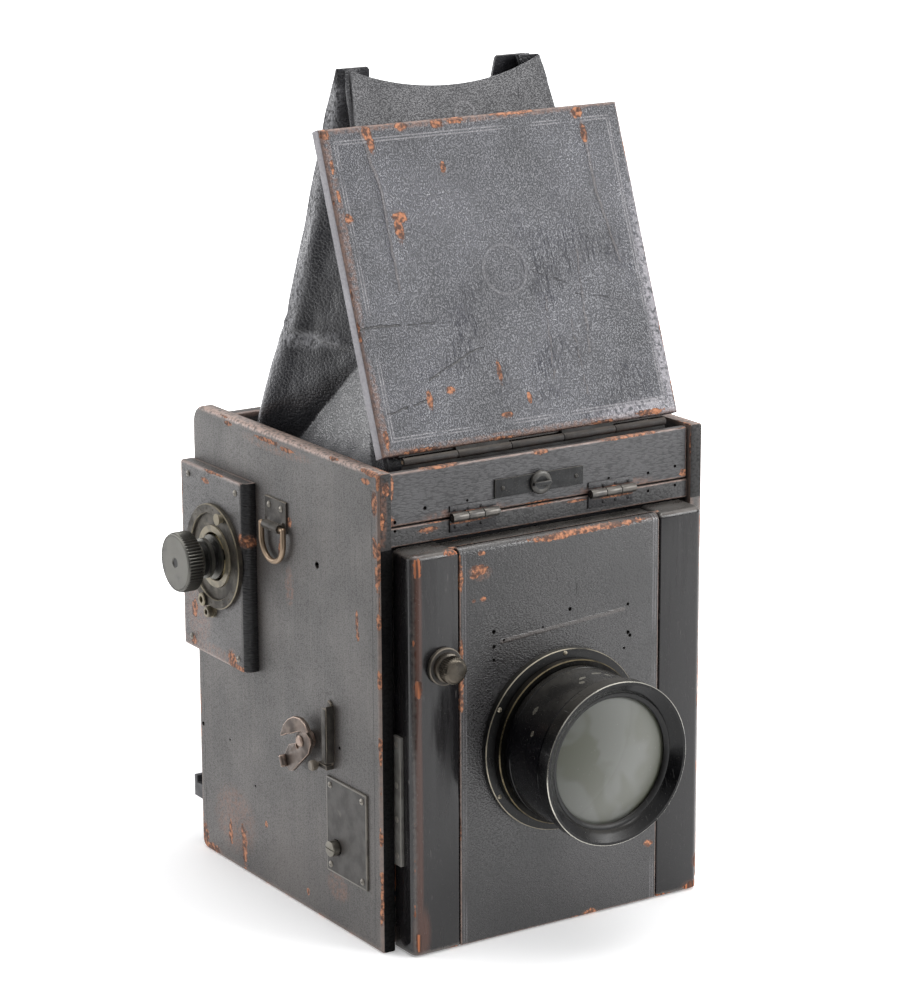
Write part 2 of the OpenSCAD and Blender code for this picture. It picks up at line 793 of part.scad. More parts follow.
// Dial plate under the winding knob: a stepped ring with three small posts
module shutter_dial() {
  color(gunmetal) {
    difference() {
      bar_x([dial_x, cover_x], winding_y, winding_z, dial_r);
      bar_x([dial_x - 1, dial_x + 1.2], winding_y, winding_z, dial_r - 7);
      bar_x([dial_x - 1, cover_x + 1], winding_y, winding_z, winding_shaft_r + gap);
    }
    for (a = [40, 190, 265]) let (r = dial_r - 3.5)
      tube_x([dial_x - 3, dial_x], winding_y + r * cos(a), winding_z + r * sin(a), 3, 1.6);
  }
}

// Winding knob with a knurled rim, its neck and its shaft
module winding_knob() {
  knob_x = -side_x - winding_reach;
  rim_l = 9;
  face_t = 1.5;
  color(enamel) {
    bar_x([knob_x, knob_x + face_t], winding_y, winding_z, winding_knob_r - 1);
    knurled_x([knob_x + face_t, knob_x + rim_l], winding_y, winding_z, winding_knob_r, knob_grooves, 0.6);
    bar_x([knob_x + rim_l, dial_x - gap], winding_y, winding_z, 9);
    bar_x([dial_x - 2 * gap, -inner_x - 0.5], winding_y, winding_z, winding_shaft_r);
  }
}

module winding_gear() {
  color(brass) difference() {
    gear_x_axis([gear_x, gear_x + gear_t], winding_y, winding_z, winding_teeth, mesh_angle);
    bar_x([gear_x - 1, gear_x + gear_t + 1], winding_y, winding_z, winding_shaft_r);
  }
}

// Upper shutter roller with its shaft and gear
module upper_roller() {
  color(bare_wood) {
    bar_x([-inner_x + 1, inner_x - 1], roller_y, upper_roller_z, roller_r);
    bar_x([gear_x, -inner_x + 2], roller_y, upper_roller_z, roller_shaft_r);
    bar_x([inner_x - 2, side_x - 1.5], roller_y, upper_roller_z, roller_shaft_r);
    gear_x_axis([gear_x, gear_x + gear_t], roller_y, upper_roller_z, roller_teeth,
      mesh_angle + 180 + 180 / roller_teeth);
  }
}

module lower_roller() {
  color(bare_wood) {
    bar_x([-inner_x + 1, inner_x - 1], roller_y, lower_roller_z, roller_r);
    bar_x([-side_x + 2.5, side_x - 2.5], roller_y, lower_roller_z, roller_shaft_r);
  }
}

// Flat stretch of the shutter blind between the rollers, with its exposing slit
module shutter_blind() {
  slit_z = 60;
  color(black_wood)
    framed([-inner_x + 3, inner_x - 3], [blind_y, blind_y + blind_t], [lower_roller_z, upper_roller_z],
      [-gate_w / 2 - 1, gate_w / 2 + 1], [slit_z, slit_z + 25]);
}

// Bearing plate round the end of the focusing shaft
module bearing_plate() {
  color(gunmetal) difference() {
    block([-side_x - plate_t, -side_x], [bearing_plate_y, bearing_plate_y + bearing_plate_d],
      [bearing_plate_z, bearing_plate_z + bearing_plate_h]);
    bar_x([-side_x - 2, -side_x + 1], shaft_y, shaft_z, shaft_r + running);
  }
}

// Guard beside the release lever: a flanged upright strip with a peg at its foot
module lever_guard() {
  color(gunmetal) {
    block([-side_x - plate_t, -side_x], [guard_y, guard_y + 5.9], guard_z);
    block([-side_x - 5, -side_x], [guard_y - plate_t, guard_y], guard_z + [1.5, -1.5]);
    block([-side_x - 5, -side_x - 3.8], [guard_y - plate_t, guard_y + 4], guard_z + [1.5, -1.5]);
    block([-side_x - 5, -side_x], [guard_y, guard_y + 8.5], [guard_z[0] - 2.5, guard_z[0]]);
    bar_x([-side_x - 9, -side_x - 4], guard_y + 8.5, guard_z[0] - 1.2, 2.2);
    bar_x([-side_x - 6, -side_x], guard_y + 8.5, guard_z[0] - 1.2, 1.4);
  }
}

// Hooked release lever: an upper claw, a slot and a lower thumb piece, on a shaft through the board
module release_lever() {
  claw = [
    [-10, 8], [-2, 12.5], [7, 11], [14.5, 4], [15.5, -1], [11, 1.5], [4, 3.5], [5, -3], [12, -5], [17, -12],
    [14, -18.5], [8, -18], [-7, -5], [-10, 1]
  ];
  thumb = [[15, -17.5], [17, -12], [15.8, -11.4], [13.8, -17]];
  color(bronze) {
    side_plate([lever_x, lever_x + lever_t], [for (p = claw) [lever_y + p[0], lever_z + p[1]]]);
    side_plate([lever_x - 4, lever_x + 0.5], [for (p = thumb) [lever_y + p[0], lever_z + p[1]]]);
    bar_x([lever_x - 1.2, lever_x], lever_y, lever_z, 3);
    bar_x([lever_x + lever_t - 0.5, -side_x - gap], lever_y, lever_z, 4.5);
    bar_x([-side_x - 2 * gap, -inner_x + 2.6], lever_y, lever_z, lever_shaft_r);
    block([-inner_x + 0.5, -inner_x + 2.5], [lever_y - 3, lever_y + 3], [lever_z, lever_z + 20]);
  }
}

// Screws of the side plates, the gear cover and the lugs
module body_screws() {
  cover_screws = [
    for (y = [cover_y + 8, back_y - 8], z = [cover_z + 6, cover_z + cover_h - 6]) [cover_x, y, z]
  ];
  bearing_screws = [
    for (y = [4, bearing_plate_d - 4], z = [4, bearing_plate_h - 4])
      [-side_x - plate_t, bearing_plate_y + y, bearing_plate_z + z]
  ];
  guard_screws = [for (z = [5, 16]) [-side_x - plate_t, guard_y + 3.2, guard_z[0] + 8 + z]];
  lug_screws = [for (y = [-6, 6]) [-side_x - plate_t, ring_y + y, ring_bar_z + 10]];
  color(bronze) {
    for (p = concat(cover_screws, bearing_screws, guard_screws, lug_screws))
      translate(p) rotate([0, -90, 0]) screw_head();
    for (p = lug_screws) mirror([1, 0, 0]) translate(p) rotate([0, -90, 0]) screw_head();
  }
}

// Bellows between the bulkhead and the standard, pressed nearly flat
module bellows() {
  pleats = 3;
  half = inner_x - 7;
  low = base_t + 6;
  start = standard_back + gap;
  pleat = (bulkhead_y - start) / pleats;
  color(black_wood) difference() {
    union() {
      block([-half + 2, half - 2], [start, bulkhead_y], [low + 2, screen_z - 2]);
      for (i = [0 : pleats - 1])
        block([-half, half], [start + (i + 0.1) * pleat, start + (i + 0.7) * pleat], [low, screen_z]);
    }
    block([-half + 5, half - 5], [start - 1, bulkhead_y + 1], [low + 5, screen_z - 5]);
  }
}

// Frame of the front standard: two stiles with grooves, joined by a board that has the lens opening
module standard_frame() {
  half = standard_w / 2;
  panel_back = standard_y + panel_t;
  color(black_wood) difference() {
    union() {
      for (side = [-1, 1]) scale([side, 1, 1]) translate([0, 0, standard_foot])
        linear_extrude(standard_top - standard_foot) stile_outline(half);
      block([-panel_x - 1, panel_x + 1], [panel_back + slide_gap, standard_back],
        [standard_foot, standard_top]);
    }
    block([-panel_x - tongue_d - slide_gap, panel_x + tongue_d + slide_gap],
      [panel_back - tongue_t - slide_gap, panel_back + slide_gap], [0, standard_top + 1]);
    block([-45, 45], [standard_y, standard_back + 1], [axis_z - 45, axis_z + 55]);
    bar_y(-clamp_x, [standard_y - 1, standard_y + 12], clamp_z, 2 + running);
  }
}

// Section of one stile seen from above, rounded at its outer front edge
module stile_outline(half) {
  r = standard_edge_r;
  translate([panel_x + 0.5, standard_y]) square([half - r - panel_x - 0.5, standard_d]);
  translate([panel_x + 0.5, standard_y + r]) square([half - panel_x - 0.5, standard_d - r]);
  translate([half - r, standard_y + r]) circle(r = r);
}

// Panel that carries the lens and slides up between the stiles
module lens_panel() {
  panel_back = standard_y + panel_t;
  color(leather) difference() {
    union() {
      block([-panel_x, panel_x], [standard_y, panel_back], [standard_foot, standard_top]);
      block([-panel_x - tongue_d, panel_x + tongue_d], [panel_back - tongue_t, panel_back],
        [standard_foot, standard_top]);
    }
    bar_y(0, [standard_y - 1, panel_back + 1], axis_z, panel_hole_r);
  }
}

module clamp_seat() {
  color(gunmetal) tube_y(-clamp_x, [standard_y - 2.5, standard_y], clamp_z, 9.4, 2 + gap);
}

// Knob that clamps the lens panel at its height
module clamp_knob() {
  face = standard_y - 2.5 - gap;
  color(enamel) {
    bar_y(-clamp_x, [face - 3.5, face], clamp_z, 7.4);
    translate([-clamp_x, face - 3.5, clamp_z]) rotate([90, 0, 0]) linear_extrude(4.6)
      polygon(knurl_points(6.6, 30, 0.4));
    bar_y(-clamp_x, [face - 9.2, face - 8.1], clamp_z, 6);
    bar_y(-clamp_x, [face - 1, standard_y + 10], clamp_z, 2);
  }
}

// Strip on the standard's side with its rack arm reaching back past the pinion
module rack() {
  teeth_back = shaft_y + rack_out + 6;
  strip_front = standard_y + 9;
  strip_back = strip_front + 7;
  first = ceil((standard_back + 2 - shaft_y) / rack_pitch);
  last = floor((teeth_back - shaft_y) / rack_pitch);
  tip = rack_z - tooth_out;
  root = rack_z + tooth_in;
  quarter = rack_pitch / 4 - backlash / 4;
  lean = tan(pressure);
  thick = [rack_x, rack_x + rack_w];
  block(thick, [strip_front, strip_back], [45.5, 112]);
  block(thick, [strip_front, standard_back], [45.5, arm_top]);
  block(thick, [strip_front, teeth_back + 2], [root, arm_top]);
  for (i = [first : last]) let (y = shaft_y + (i + 0.5) * rack_pitch)
    side_plate(thick, [
      [y - quarter - lean * tooth_in, root + 0.1], [y - quarter + lean * tooth_out, tip],
      [y + quarter - lean * tooth_out, tip], [y + quarter + lean * tooth_in, root + 0.1]
    ]);
}

module left_rack() {
  color(gunmetal) mirror([1, 0, 0]) rack();
}

module right_rack() {
  color(gunmetal) rack();
}

module rack_screws() {
  color(bronze) both_sides() for (z = [50.6, 69.4, 87, 108])
    translate([rack_x + rack_w, standard_y + 12.5, z]) rotate([0, 90, 0])
      cylinder(r = 1.6, h = 0.15, $fn = 24);
}

// Shaft across the camera with a pinion at each side and a round end on the left
module focusing_shaft() {
  face_x = inner_x - rack_w - 0.9;
  color(gunmetal) {
    bar_x([-side_x - 5.4, side_x + 14], shaft_y, shaft_z, shaft_r);
    bar_x([-side_x - 5.5, -side_x - plate_t - gap], shaft_y, shaft_z, 4);
    for (side = [-1, 1]) let (x = side > 0 ? [face_x, inner_x - gap] : [-inner_x + gap, -face_x])
      gear_x_axis(x, shaft_y, shaft_z, pinion_teeth, 90);
  }
}

module focusing_knob() {
  color(enamel) difference() {
    union() {
      bar_x([side_x + gap, side_x + 5], shaft_y, shaft_z, 7);
      knurled_x([side_x + 5, side_x + 14], shaft_y, shaft_z, focus_knob_r, knob_grooves, 0.6);
      bar_x([side_x + 14, side_x + 15.5], shaft_y, shaft_z, focus_knob_r - 1);
    }
    bar_x([side_x - 1, side_x + 14], shaft_y, shaft_z, shaft_r);
  }
}

module lens_flange() {
  color(enamel) {
    tube_y(0, [flange_y, standard_y], axis_z, flange_r, neck_r + 0.1);
    for (a = [30 : 60 : 330]) let (r = (flange_r + aperture_ring_r) / 2 + 0.3)
      bar_y(r * cos(a), [flange_y - 0.4, flange_y], axis_z + r * sin(a), 1.5, $fn = 24);
  }
}

// Length of barrel hidden under the aperture ring
ring_seat = aperture_ring_l + 2;

// Barrel: a neck through the panel, a seat for the aperture ring and the wide front tube
module lens_barrel() {
  bore = neck_r - 2.5;
  color(enamel) {
    tube_y(0, [flange_y - ring_seat, standard_y + 14], axis_z, neck_r, bore);
    tube_y(0, [lens_front + rim_l, flange_y - ring_seat + 1], axis_z, barrel_r, bore);
  }
}

module aperture_ring() {
  color(gunmetal)
    tube_y(0, [flange_y - ring_seat + gap + 1, flange_y - 2 * gap], axis_z, aperture_ring_r,
      neck_r + running);
}

// Front rim with a bevel inside
module front_rim() {
  inner = glass_r + 2.2;
  color(enamel) translate([0, lens_front, axis_z]) rotate([-90, 0, 0]) rotate_extrude()
    polygon([[rim_r - 1, 0], [rim_r, 1], [rim_r, rim_l], [inner, rim_l], [inner, 3.5], [rim_r - 2.5, 0]]);
}

module lens_retaining_ring() {
  color(enamel) tube_y(0, [lens_front + 4.5, lens_front + 7], axis_z, glass_r + 2.1, glass_r - 0.5);
}

// A lens bounded by two spheres and a cylindrical edge, its axis along Y
module glass_element(y, r, edge, front_sphere, back_sphere) {
  front_sag = front_sphere - sqrt(front_sphere ^ 2 - r ^ 2);
  back_sag = back_sphere - sqrt(back_sphere ^ 2 - r ^ 2);
  translate([0, y, axis_z]) rotate([-90, 0, 0]) intersection() {
    translate([0, 0, -front_sag]) cylinder(r = r, h = front_sag + edge + back_sag);
    translate([0, 0, front_sphere - front_sag]) sphere(r = front_sphere, $fn = 128);
    translate([0, 0, edge + back_sag - back_sphere]) sphere(r = back_sphere, $fn = 128);
  }
}

module front_lens() {
  color(glass) glass_element(lens_front + 7.6, glass_r + 0.6, 3, 110, 160);
}

module rear_lens() {
  color(glass) glass_element(standard_y + 8, glass_r + 0.6, 3, 160, 120);
}

// Aperture plate half way down the barrel
module iris() {
  color(black_wood) translate([0, standard_y - 14, axis_z]) rotate([-90, 0, 0]) difference() {
    cylinder(r = neck_r - 2.5, h = 0.8);
    translate([0, 0, -1]) linear_extrude(3) polygon([for (i = [0 : 11]) 25 * [cos(i * 30), sin(i * 30)]]);
  }
}

// Places what is drawn flat behind the mirror's hinge into the mirror's resting slope
module sloping() {
  translate([0, mirror_y, mirror_hinge_z]) rotate([45, 0, 0]) children();
}

// Mirror's backing board with its rim, and the rod it turns on
module mirror_frame() {
  half = mirror_w / 2;
  color(black_wood) {
    sloping() {
      difference() {
        block([-half, half], [-mirror_l, -6], [-2, mirror_face]);
        block([-half + 3, half - 3], [-mirror_l + 3, -9], [mirror_face - mirror_glass_t, mirror_face + 1]);
      }
      block([-half, half], [-7, mirror_face], [-mirror_face, mirror_face]);
    }
    for (x = [[-inner_x - 4, -half + 1], [half - 1, inner_x + 4]])
      bar_x(x, mirror_y, mirror_hinge_z, mirror_rod_r);
  }
}

module mirror_glass() {
  half = mirror_w / 2 - 3;
  color(glass) sloping()
    block([-half, half], [-mirror_l + 3, -9], [mirror_face - mirror_glass_t, mirror_face]);
}

// Frame on the camera's back, open at the picture gate
module back_frame() {
  color(leather)
    framed([-back_x, back_x], [back_y, back_plate_y], back_z,
      [-gate_w / 2 - 1, gate_w / 2 + 1], [axis_z - gate_h / 2 - 1, axis_z + gate_h / 2 + 1]);
}

// Grooved rails above and below the gate, which hold a plate holder slid in from the side
module holder_rails() {
  rail_w = 12;
  lip = 4;
  low = axis_z - gate_h / 2 - 3 - rail_w;
  high = axis_z + gate_h / 2 + 3;
  color(black_wood) for (side = [0, 1]) let (z = side == 0 ? [low, low + rail_w] : [high, high + rail_w])
    difference() {
      block([-back_x, back_x], [back_plate_y, back_plate_y + back_rail_d], z);
      block([-back_x - 1, back_x + 1], [back_plate_y + 1.5, back_plate_y + 1.5 + holder_slot],
        side == 0 ? [z[1] - lip, z[1] + 1] : [z[0] - 1, z[0] + lip]);
    }
}

left_board();
right_board();
base_board();
rear_board();
bulkhead();
front_rail();
lid_rail();
screen_frame();
focusing_screen();
flap_hinge_lower_leaves();
flap_hinge_pins();
lid_hinge_leaf();
lid_hinge_pin();
strap_lugs();
gear_cover();
shutter_dial();
lever_guard();
bearing_plate();
body_screws();
bellows();
tripod_bush();
back_frame();
holder_rails();
shutter_blind();
standard_frame();
left_rack();
right_rack();
clamp_seat();
rack_screws();
clamp_knob();
lens_panel();
lens_flange();
lens_barrel();
front_rim();
front_lens();
rear_lens();
lens_retaining_ring();
iris();
aperture_ring();
focusing_shaft();
focusing_knob();
flap();
flap_hinge_upper_leaves();
swivel_plate();
turn_button();
lid();
lid_leaf();
hood_front();
hood_rear();
hood_left_gusset();
hood_right_gusset();
mirror_frame();
mirror_glass();
release_lever();
winding_knob();
winding_gear();
upper_roller();
lower_roller();
left_d_ring();
right_d_ring();
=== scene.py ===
"""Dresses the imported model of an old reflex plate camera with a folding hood.

Lengths in this file are millimetres in the camera's own frame: X to the right seen
from the front, Y from the lens to the plate, Z up, and the origin at the mouth of
the tripod bush. The bench turns them into metres.
"""

import logging
import math
from collections.abc import Callable, Iterable, Iterator, Sequence
from contextlib import contextmanager
from dataclasses import dataclass
from enum import Enum

import bmesh
import bpy
from mathutils import Matrix, Vector, noise


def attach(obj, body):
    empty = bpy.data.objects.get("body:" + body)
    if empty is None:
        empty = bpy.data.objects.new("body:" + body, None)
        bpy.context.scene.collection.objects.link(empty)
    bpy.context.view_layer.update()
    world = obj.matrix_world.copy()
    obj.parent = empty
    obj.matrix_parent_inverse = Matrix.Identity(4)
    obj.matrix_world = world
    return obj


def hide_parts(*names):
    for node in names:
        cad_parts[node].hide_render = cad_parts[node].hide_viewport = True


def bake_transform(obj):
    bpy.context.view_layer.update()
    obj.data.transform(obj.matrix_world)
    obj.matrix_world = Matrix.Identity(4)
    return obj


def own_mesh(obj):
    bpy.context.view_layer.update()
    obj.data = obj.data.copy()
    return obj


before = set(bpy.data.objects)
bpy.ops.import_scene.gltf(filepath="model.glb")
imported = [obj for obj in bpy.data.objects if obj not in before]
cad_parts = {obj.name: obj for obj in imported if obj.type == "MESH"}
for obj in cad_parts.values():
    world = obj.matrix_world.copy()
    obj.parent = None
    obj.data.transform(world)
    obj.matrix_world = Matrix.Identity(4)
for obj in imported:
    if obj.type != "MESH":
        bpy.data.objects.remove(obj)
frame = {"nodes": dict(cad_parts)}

Point = tuple[float, float, float]
Flat = tuple[float, float]
Colour = tuple[float, float, float]
Spot = tuple[float, float, float, float, float, float]
Value = "float | Sequence[float] | Field"

MM = 0.001
log = logging.getLogger("reflex_camera")


# The bench: what makes and shapes one mesh piece


class Axis(Enum):
    """The directions that turned pieces and flat outlines are drawn along."""

    X = 0
    Y = 1
    Z = 2

    @property
    def direction(self) -> Vector:
        """The unit vector along the axis."""
        return Vector([float(i == self.value) for i in range(3)])

    def lift(self, flat: Flat, station: float) -> Vector:
        """Places a flat point across the axis.

        Args:
            flat: The point's two other coordinates, in the order X, Y, Z.
            station: The place along the axis.

        Returns:
            The point in space.
        """
        point = list(flat)
        point.insert(self.value, station)
        return Vector(point)


def on_face(axis: Axis, at: float, *rows: Sequence[float]) -> tuple[Spot, ...]:
    """Gives spots on a face across an axis.

    Args:
        axis: The axis.
        at: Where the face lies along it.
        *rows: Each spot's two other coordinates and its two reaches along the face.

    Returns:
        The spots, which reach 3 mm in and out of the face.
    """
    n = axis.value
    return tuple((*r[:n], at, *r[n : 2 + n], 3, *r[2 + n :]) for r in rows)


class Body(Enum):
    """The bodies of the camera that pieces ride on."""

    CASE = "camera_body"
    STANDARD = "lens_carriage"
    CLAMP = "clamp"
    LENS = "lens_board"
    APERTURE = "aperture_control"
    FOCUSING = "focusing_drive"
    FLAP = "front_flap"
    LOCK = "flap_lock"
    LID = "top_lid"
    MIRROR = "reflex_mirror"
    RELEASE = "release"
    WINDER = "winder"
    LEFT_RING = "left_ring"
    RIGHT_RING = "right_ring"


class Slot(Enum):
    """The finishes that the record names."""

    COVER = "covered_board"
    HOOD = "hood_leather"
    BLACK_WOOD = "black_wood"
    GUNMETAL = "gunmetal"
    BRONZE = "bronze"
    BRASS = "brass"
    ENAMEL = "black_enamel"
    GLASS = "glass"
    WOOD = "bare_wood"
    CLOTH = "black_cloth"


def choose(obj: bpy.types.Object) -> None:
    """Deselects everything, then selects one object and makes it active.

    Args:
        obj: The object.
    """
    bpy.ops.object.select_all(action="DESELECT")
    obj.select_set(True)
    bpy.context.view_layer.objects.active = obj


@contextmanager
def opened(obj: bpy.types.Object, mode: str = "FACE") -> Iterator[bmesh.types.BMesh]:
    """Opens a mesh in edit mode with nothing selected, and closes it again.

    Args:
        obj: The object to open.
        mode: What is selected in it: VERT, EDGE or FACE.

    Yields:
        The open mesh.
    """
    choose(obj)
    bpy.ops.object.mode_set(mode="EDIT")
    bpy.ops.mesh.select_mode(type=mode)
    bpy.ops.mesh.select_all(action="DESELECT")
    yield bmesh.from_edit_mesh(obj.data)
    bpy.ops.object.mode_set(mode="OBJECT")


class Piece:
    """One mesh piece on the bench."""

    def __init__(self, obj: bpy.types.Object, name: str) -> None:
        """Takes an object and names it and its mesh.

        Args:
            obj: The mesh object.
            name: What it and its mesh are called.
        """
        self.obj = obj
        self.name = name
        obj.name = name
        obj.data.name = name

    @classmethod
    def placed(cls, name: str) -> "Piece":
        """Takes the new primitive, with its place, turn and size moved into its mesh."""
        bpy.ops.object.transform_apply(location=True, rotation=True, scale=True)
        return cls(bpy.context.active_object, name)

    @classmethod
    def block(cls, name: str, low: Point, high: Point) -> "Piece":
        """Starts a piece as a block between two corners.

        Args:
            name: The piece's name.
            low: Its lowest corner.
            high: Its highest corner.

        Returns:
            The piece.
        """
        bpy.ops.object.select_all(action="DESELECT")
        middle = [(a + b) / 2 * MM for a, b in zip(low, high)]
        size = [(b - a) * MM for a, b in zip(low, high)]
        bpy.ops.mesh.primitive_cube_add(size=1, location=middle, scale=size)
        return cls.placed(name)

    @classmethod
    def rod(cls, name: str, start: Point, end: Point, radius: float, sides: int = 40) -> "Piece":
        """Starts a piece as a round rod.

        Args:
            name: The piece's name.
            start: The middle of one end.
            end: The middle of the other end.
            radius: The rod's radius.
            sides: How many faces go round it.

        Returns:
            The piece.
        """
        bpy.ops.object.select_all(action="DESELECT")
        first, last = Vector(start) * MM, Vector(end) * MM
        bpy.ops.mesh.primitive_cylinder_add(
            vertices=sides, radius=radius * MM, depth=(last - first).length,
            location=(first + last) / 2, rotation=(last - first).to_track_quat("Z", "Y").to_euler(),
        )
        return cls.placed(name)

    @classmethod
    def outline(
        cls, name: str, axis: Axis, points: Sequence[Flat], start: float, end: float
    ) -> "Piece":
        """Starts a piece as a flat outline that is pushed out along an axis.

        Args:
            name: The piece's name.
            axis: The axis that the outline lies across.
            points: The outline's corners, in order.
            start: Where the outline is drawn.
            end: Where it is pushed to.

        Returns:
            The piece.
        """
        bpy.ops.object.select_all(action="DESELECT")
        bpy.ops.mesh.primitive_circle_add(vertices=len(points), radius=0.01, fill_type="NGON")
        piece = cls.placed(name)
        for vertex, point in zip(piece.obj.data.vertices, points):
            vertex.co = axis.lift(point, start) * MM
        push = axis.direction * (end - start) * MM
        with opened(piece.obj):
            bpy.ops.mesh.select_all(action="SELECT")
            bpy.ops.mesh.extrude_region_move(TRANSFORM_OT_translate={"value": push})
        return piece.outward()

    @classmethod
    def turned(
        cls, name: str, axis: Axis, centre: Point, profile: Sequence[Flat], steps: int = 96,
        ring: bool = False,
    ) -> "Piece":
        """Starts a piece as a profile spun round an axis, as on a lathe.

        Args:
            name: The piece's name.
            axis: The axis of the spin.
            centre: A point on the axis.
            profile: Pairs of radius and place along the axis.
            steps: How many faces go round it.
            ring: Whether the profile closes on itself.

        Returns:
            The piece.
        """
        bpy.ops.object.select_all(action="DESELECT")
        count = len(profile)
        bpy.ops.mesh.primitive_circle_add(vertices=count, radius=0.01, fill_type="NOTHING")
        piece = cls.placed(name)
        middle = Vector(centre)
        middle[axis.value] = 0
        side = Axis((axis.value + 1) % 3).direction
        for vertex, (radius, station) in zip(piece.obj.data.vertices, profile):
            vertex.co = (middle + side * radius + axis.direction * station) * MM
        with opened(piece.obj, "EDGE") as mesh:
            if not ring:
                for edge in mesh.edges:
                    ends = {edge.verts[0].index, edge.verts[1].index}
                    edge.select_set(ends == {0, count - 1})
                bpy.ops.mesh.delete(type="EDGE_FACE")
            bpy.ops.mesh.select_all(action="SELECT")
            bpy.ops.mesh.spin(
                steps=steps, angle=math.tau, center=middle * MM, axis=axis.direction,
                use_auto_merge=True,
            )
        return piece.outward()

    @classmethod
    def sheet(
        cls, name: str, across: int, along: int, place: Callable[[float, float], Vector]
    ) -> "Piece":
        """Starts a piece as a fine grid laid on a curved surface.

        Args:
            name: The piece's name.
            across: How many faces lie across it.
            along: How many faces lie along it.
            place: Gives the point for a share across and a share along, from 0 to 1.

        Returns:
            The piece.
        """
        bpy.ops.object.select_all(action="DESELECT")
        bpy.ops.mesh.primitive_grid_add(x_subdivisions=across, y_subdivisions=along, size=1)
        piece = cls.placed(name)
        for vertex in piece.obj.data.vertices:
            vertex.co = place(vertex.co.x + 0.5, vertex.co.y + 0.5) * MM
        return piece

    @classmethod
    def copied(cls, node: bpy.types.Object, name: str) -> "Piece":
        """Starts a piece as a merged copy of a CAD node.

        Args:
            node: The CAD node's object.
            name: The piece's name.

        Returns:
            The piece.
        """
        obj = bpy.data.objects.new(name, node.data.copy())
        bpy.context.collection.objects.link(obj)
        obj.data.materials.clear()
        with opened(obj, "VERT"):
            bpy.ops.mesh.select_all(action="SELECT")
            bpy.ops.mesh.remove_doubles(threshold=1e-6)
            bpy.ops.mesh.dissolve_limited(angle_limit=math.radians(0.5))
        return cls(obj, name)

    def outward(self) -> "Piece":
        """Merges doubled points and turns the faces outwards.

        Returns:
            The piece.
        """
        with opened(self.obj, "VERT"):
            bpy.ops.mesh.select_all(action="SELECT")
            bpy.ops.mesh.remove_doubles(threshold=1e-6)
            bpy.ops.mesh.normals_make_consistent(inside=False)
        return self

    def modify(self, kind: str, **settings: object) -> "Piece":
        """Adds a modifier and applies it.

        Args:
            kind: Blender's name for the modifier.
            **settings: The modifier's own settings.

        Returns:
            The piece.
        """
        choose(self.obj)
        modifier = self.obj.modifiers.new(kind.title(), kind)
        for key, value in settings.items():
            setattr(modifier, key, value)
        bpy.ops.object.modifier_apply(modifier=modifier.name)
        return self

    def soften(self, width: float, segments: int = 2, angle: float = 30) -> "Piece":
        """Rounds every edge that is sharper than an angle.

        Args:
            width: How far the rounding reaches.
            segments: How many faces it has.
            angle: The least angle in degrees of an edge that is rounded.

        Returns:
            The piece.
        """
        limit = math.radians(angle)
        return self.modify(
            "BEVEL", width=width * MM, segments=segments, limit_method="ANGLE", angle_limit=limit,
            harden_normals=False,
        )

    def round_where(
        self, test: Callable[[Vector, Vector], bool], width: float, segments: int = 4
    ) -> "Piece":
        """Rounds the edges whose two ends pass a test.

        Args:
            test: Takes an edge's ends in millimetres and says whether it is rounded.
            width: How far the rounding reaches.
            segments: How many faces it has.

        Returns:
            The piece.
        """
        with opened(self.obj, "EDGE") as mesh:
            for edge in mesh.edges:
                edge.select_set(test(edge.verts[0].co / MM, edge.verts[1].co / MM))
            bmesh.update_edit_mesh(self.obj.data)
            bpy.ops.mesh.bevel(offset=width * MM, segments=segments, affect="EDGES")
        return self

    def inset_where(
        self, test: Callable[[Vector, Vector], bool], width: float, depth: float
    ) -> "Piece":
        """Insets the faces that pass a test and sinks or raises what is inside.

        Args:
            test: Takes a face's middle in millimetres and its normal.
            width: How wide the margin is.
            depth: How far the inside moves along its normal; below 0 is inwards.

        Returns:
            The piece.
        """
        with opened(self.obj) as mesh:
            for face in mesh.faces:
                face.select_set(test(face.calc_center_median() / MM, face.normal))
            bmesh.update_edit_mesh(self.obj.data)
            bpy.ops.mesh.inset(thickness=width * MM, depth=depth * MM)
        return self

    def split(self, point: Point, normal: Point) -> "Piece":
        """Splits the faces along a plane through a point in millimetres.

        Args:
            point: The point.
            normal: The direction that the plane faces.

        Returns:
            The piece.
        """
        with opened(self.obj):
            bpy.ops.mesh.select_all(action="SELECT")
            bpy.ops.mesh.bisect(plane_co=Vector(point) * MM, plane_no=normal)
        return self

    def drill(self, axis: Axis, spots: Sequence[Spot]) -> "Piece":
        """Drills a blind hole at each spot, along an axis, into the face that looks to minus.

        Args:
            axis: The axis.
            spots: Each hole's place, and its reach along each axis.

        Returns:
            The piece.
        """
        tools = []
        for spot in spots:
            start, end = list(spot[:3]), list(spot[:3])
            start[axis.value] -= 1
            end[axis.value] += 2.4
            across = [reach for index, reach in enumerate(spot[3:]) if index != axis.value]
            tools.append(Piece.rod("drill", tuple(start), tuple(end), sum(across) / 2, 16))
        return self.cut(*tools)

    def cut(self, *tools: "Piece") -> "Piece":
        """Cuts other pieces out of this one and clears them away.

        Args:
            *tools: The pieces to cut out.

        Returns:
            The piece.
        """
        for tool in tools:
            self.modify("BOOLEAN", object=tool.obj, operation="DIFFERENCE", solver="EXACT")
            bpy.data.objects.remove(tool.obj)
        return self

    def join(self, *others: "Piece") -> "Piece":
        """Makes one object of this piece and others.

        Args:
            *others: The other pieces.

        Returns:
            The piece.
        """
        choose(self.obj)
        for other in others:
            other.obj.select_set(True)
        bpy.ops.object.join()
        return self

    def shape(self, move: Callable[[Vector], Vector]) -> "Piece":
        """Moves every point by a formula in millimetres.

        Args:
            move: Takes a point and gives its new place.

        Returns:
            The piece.
        """
        for vertex in self.obj.data.vertices:
            vertex.co = move(vertex.co / MM) * MM
        return self

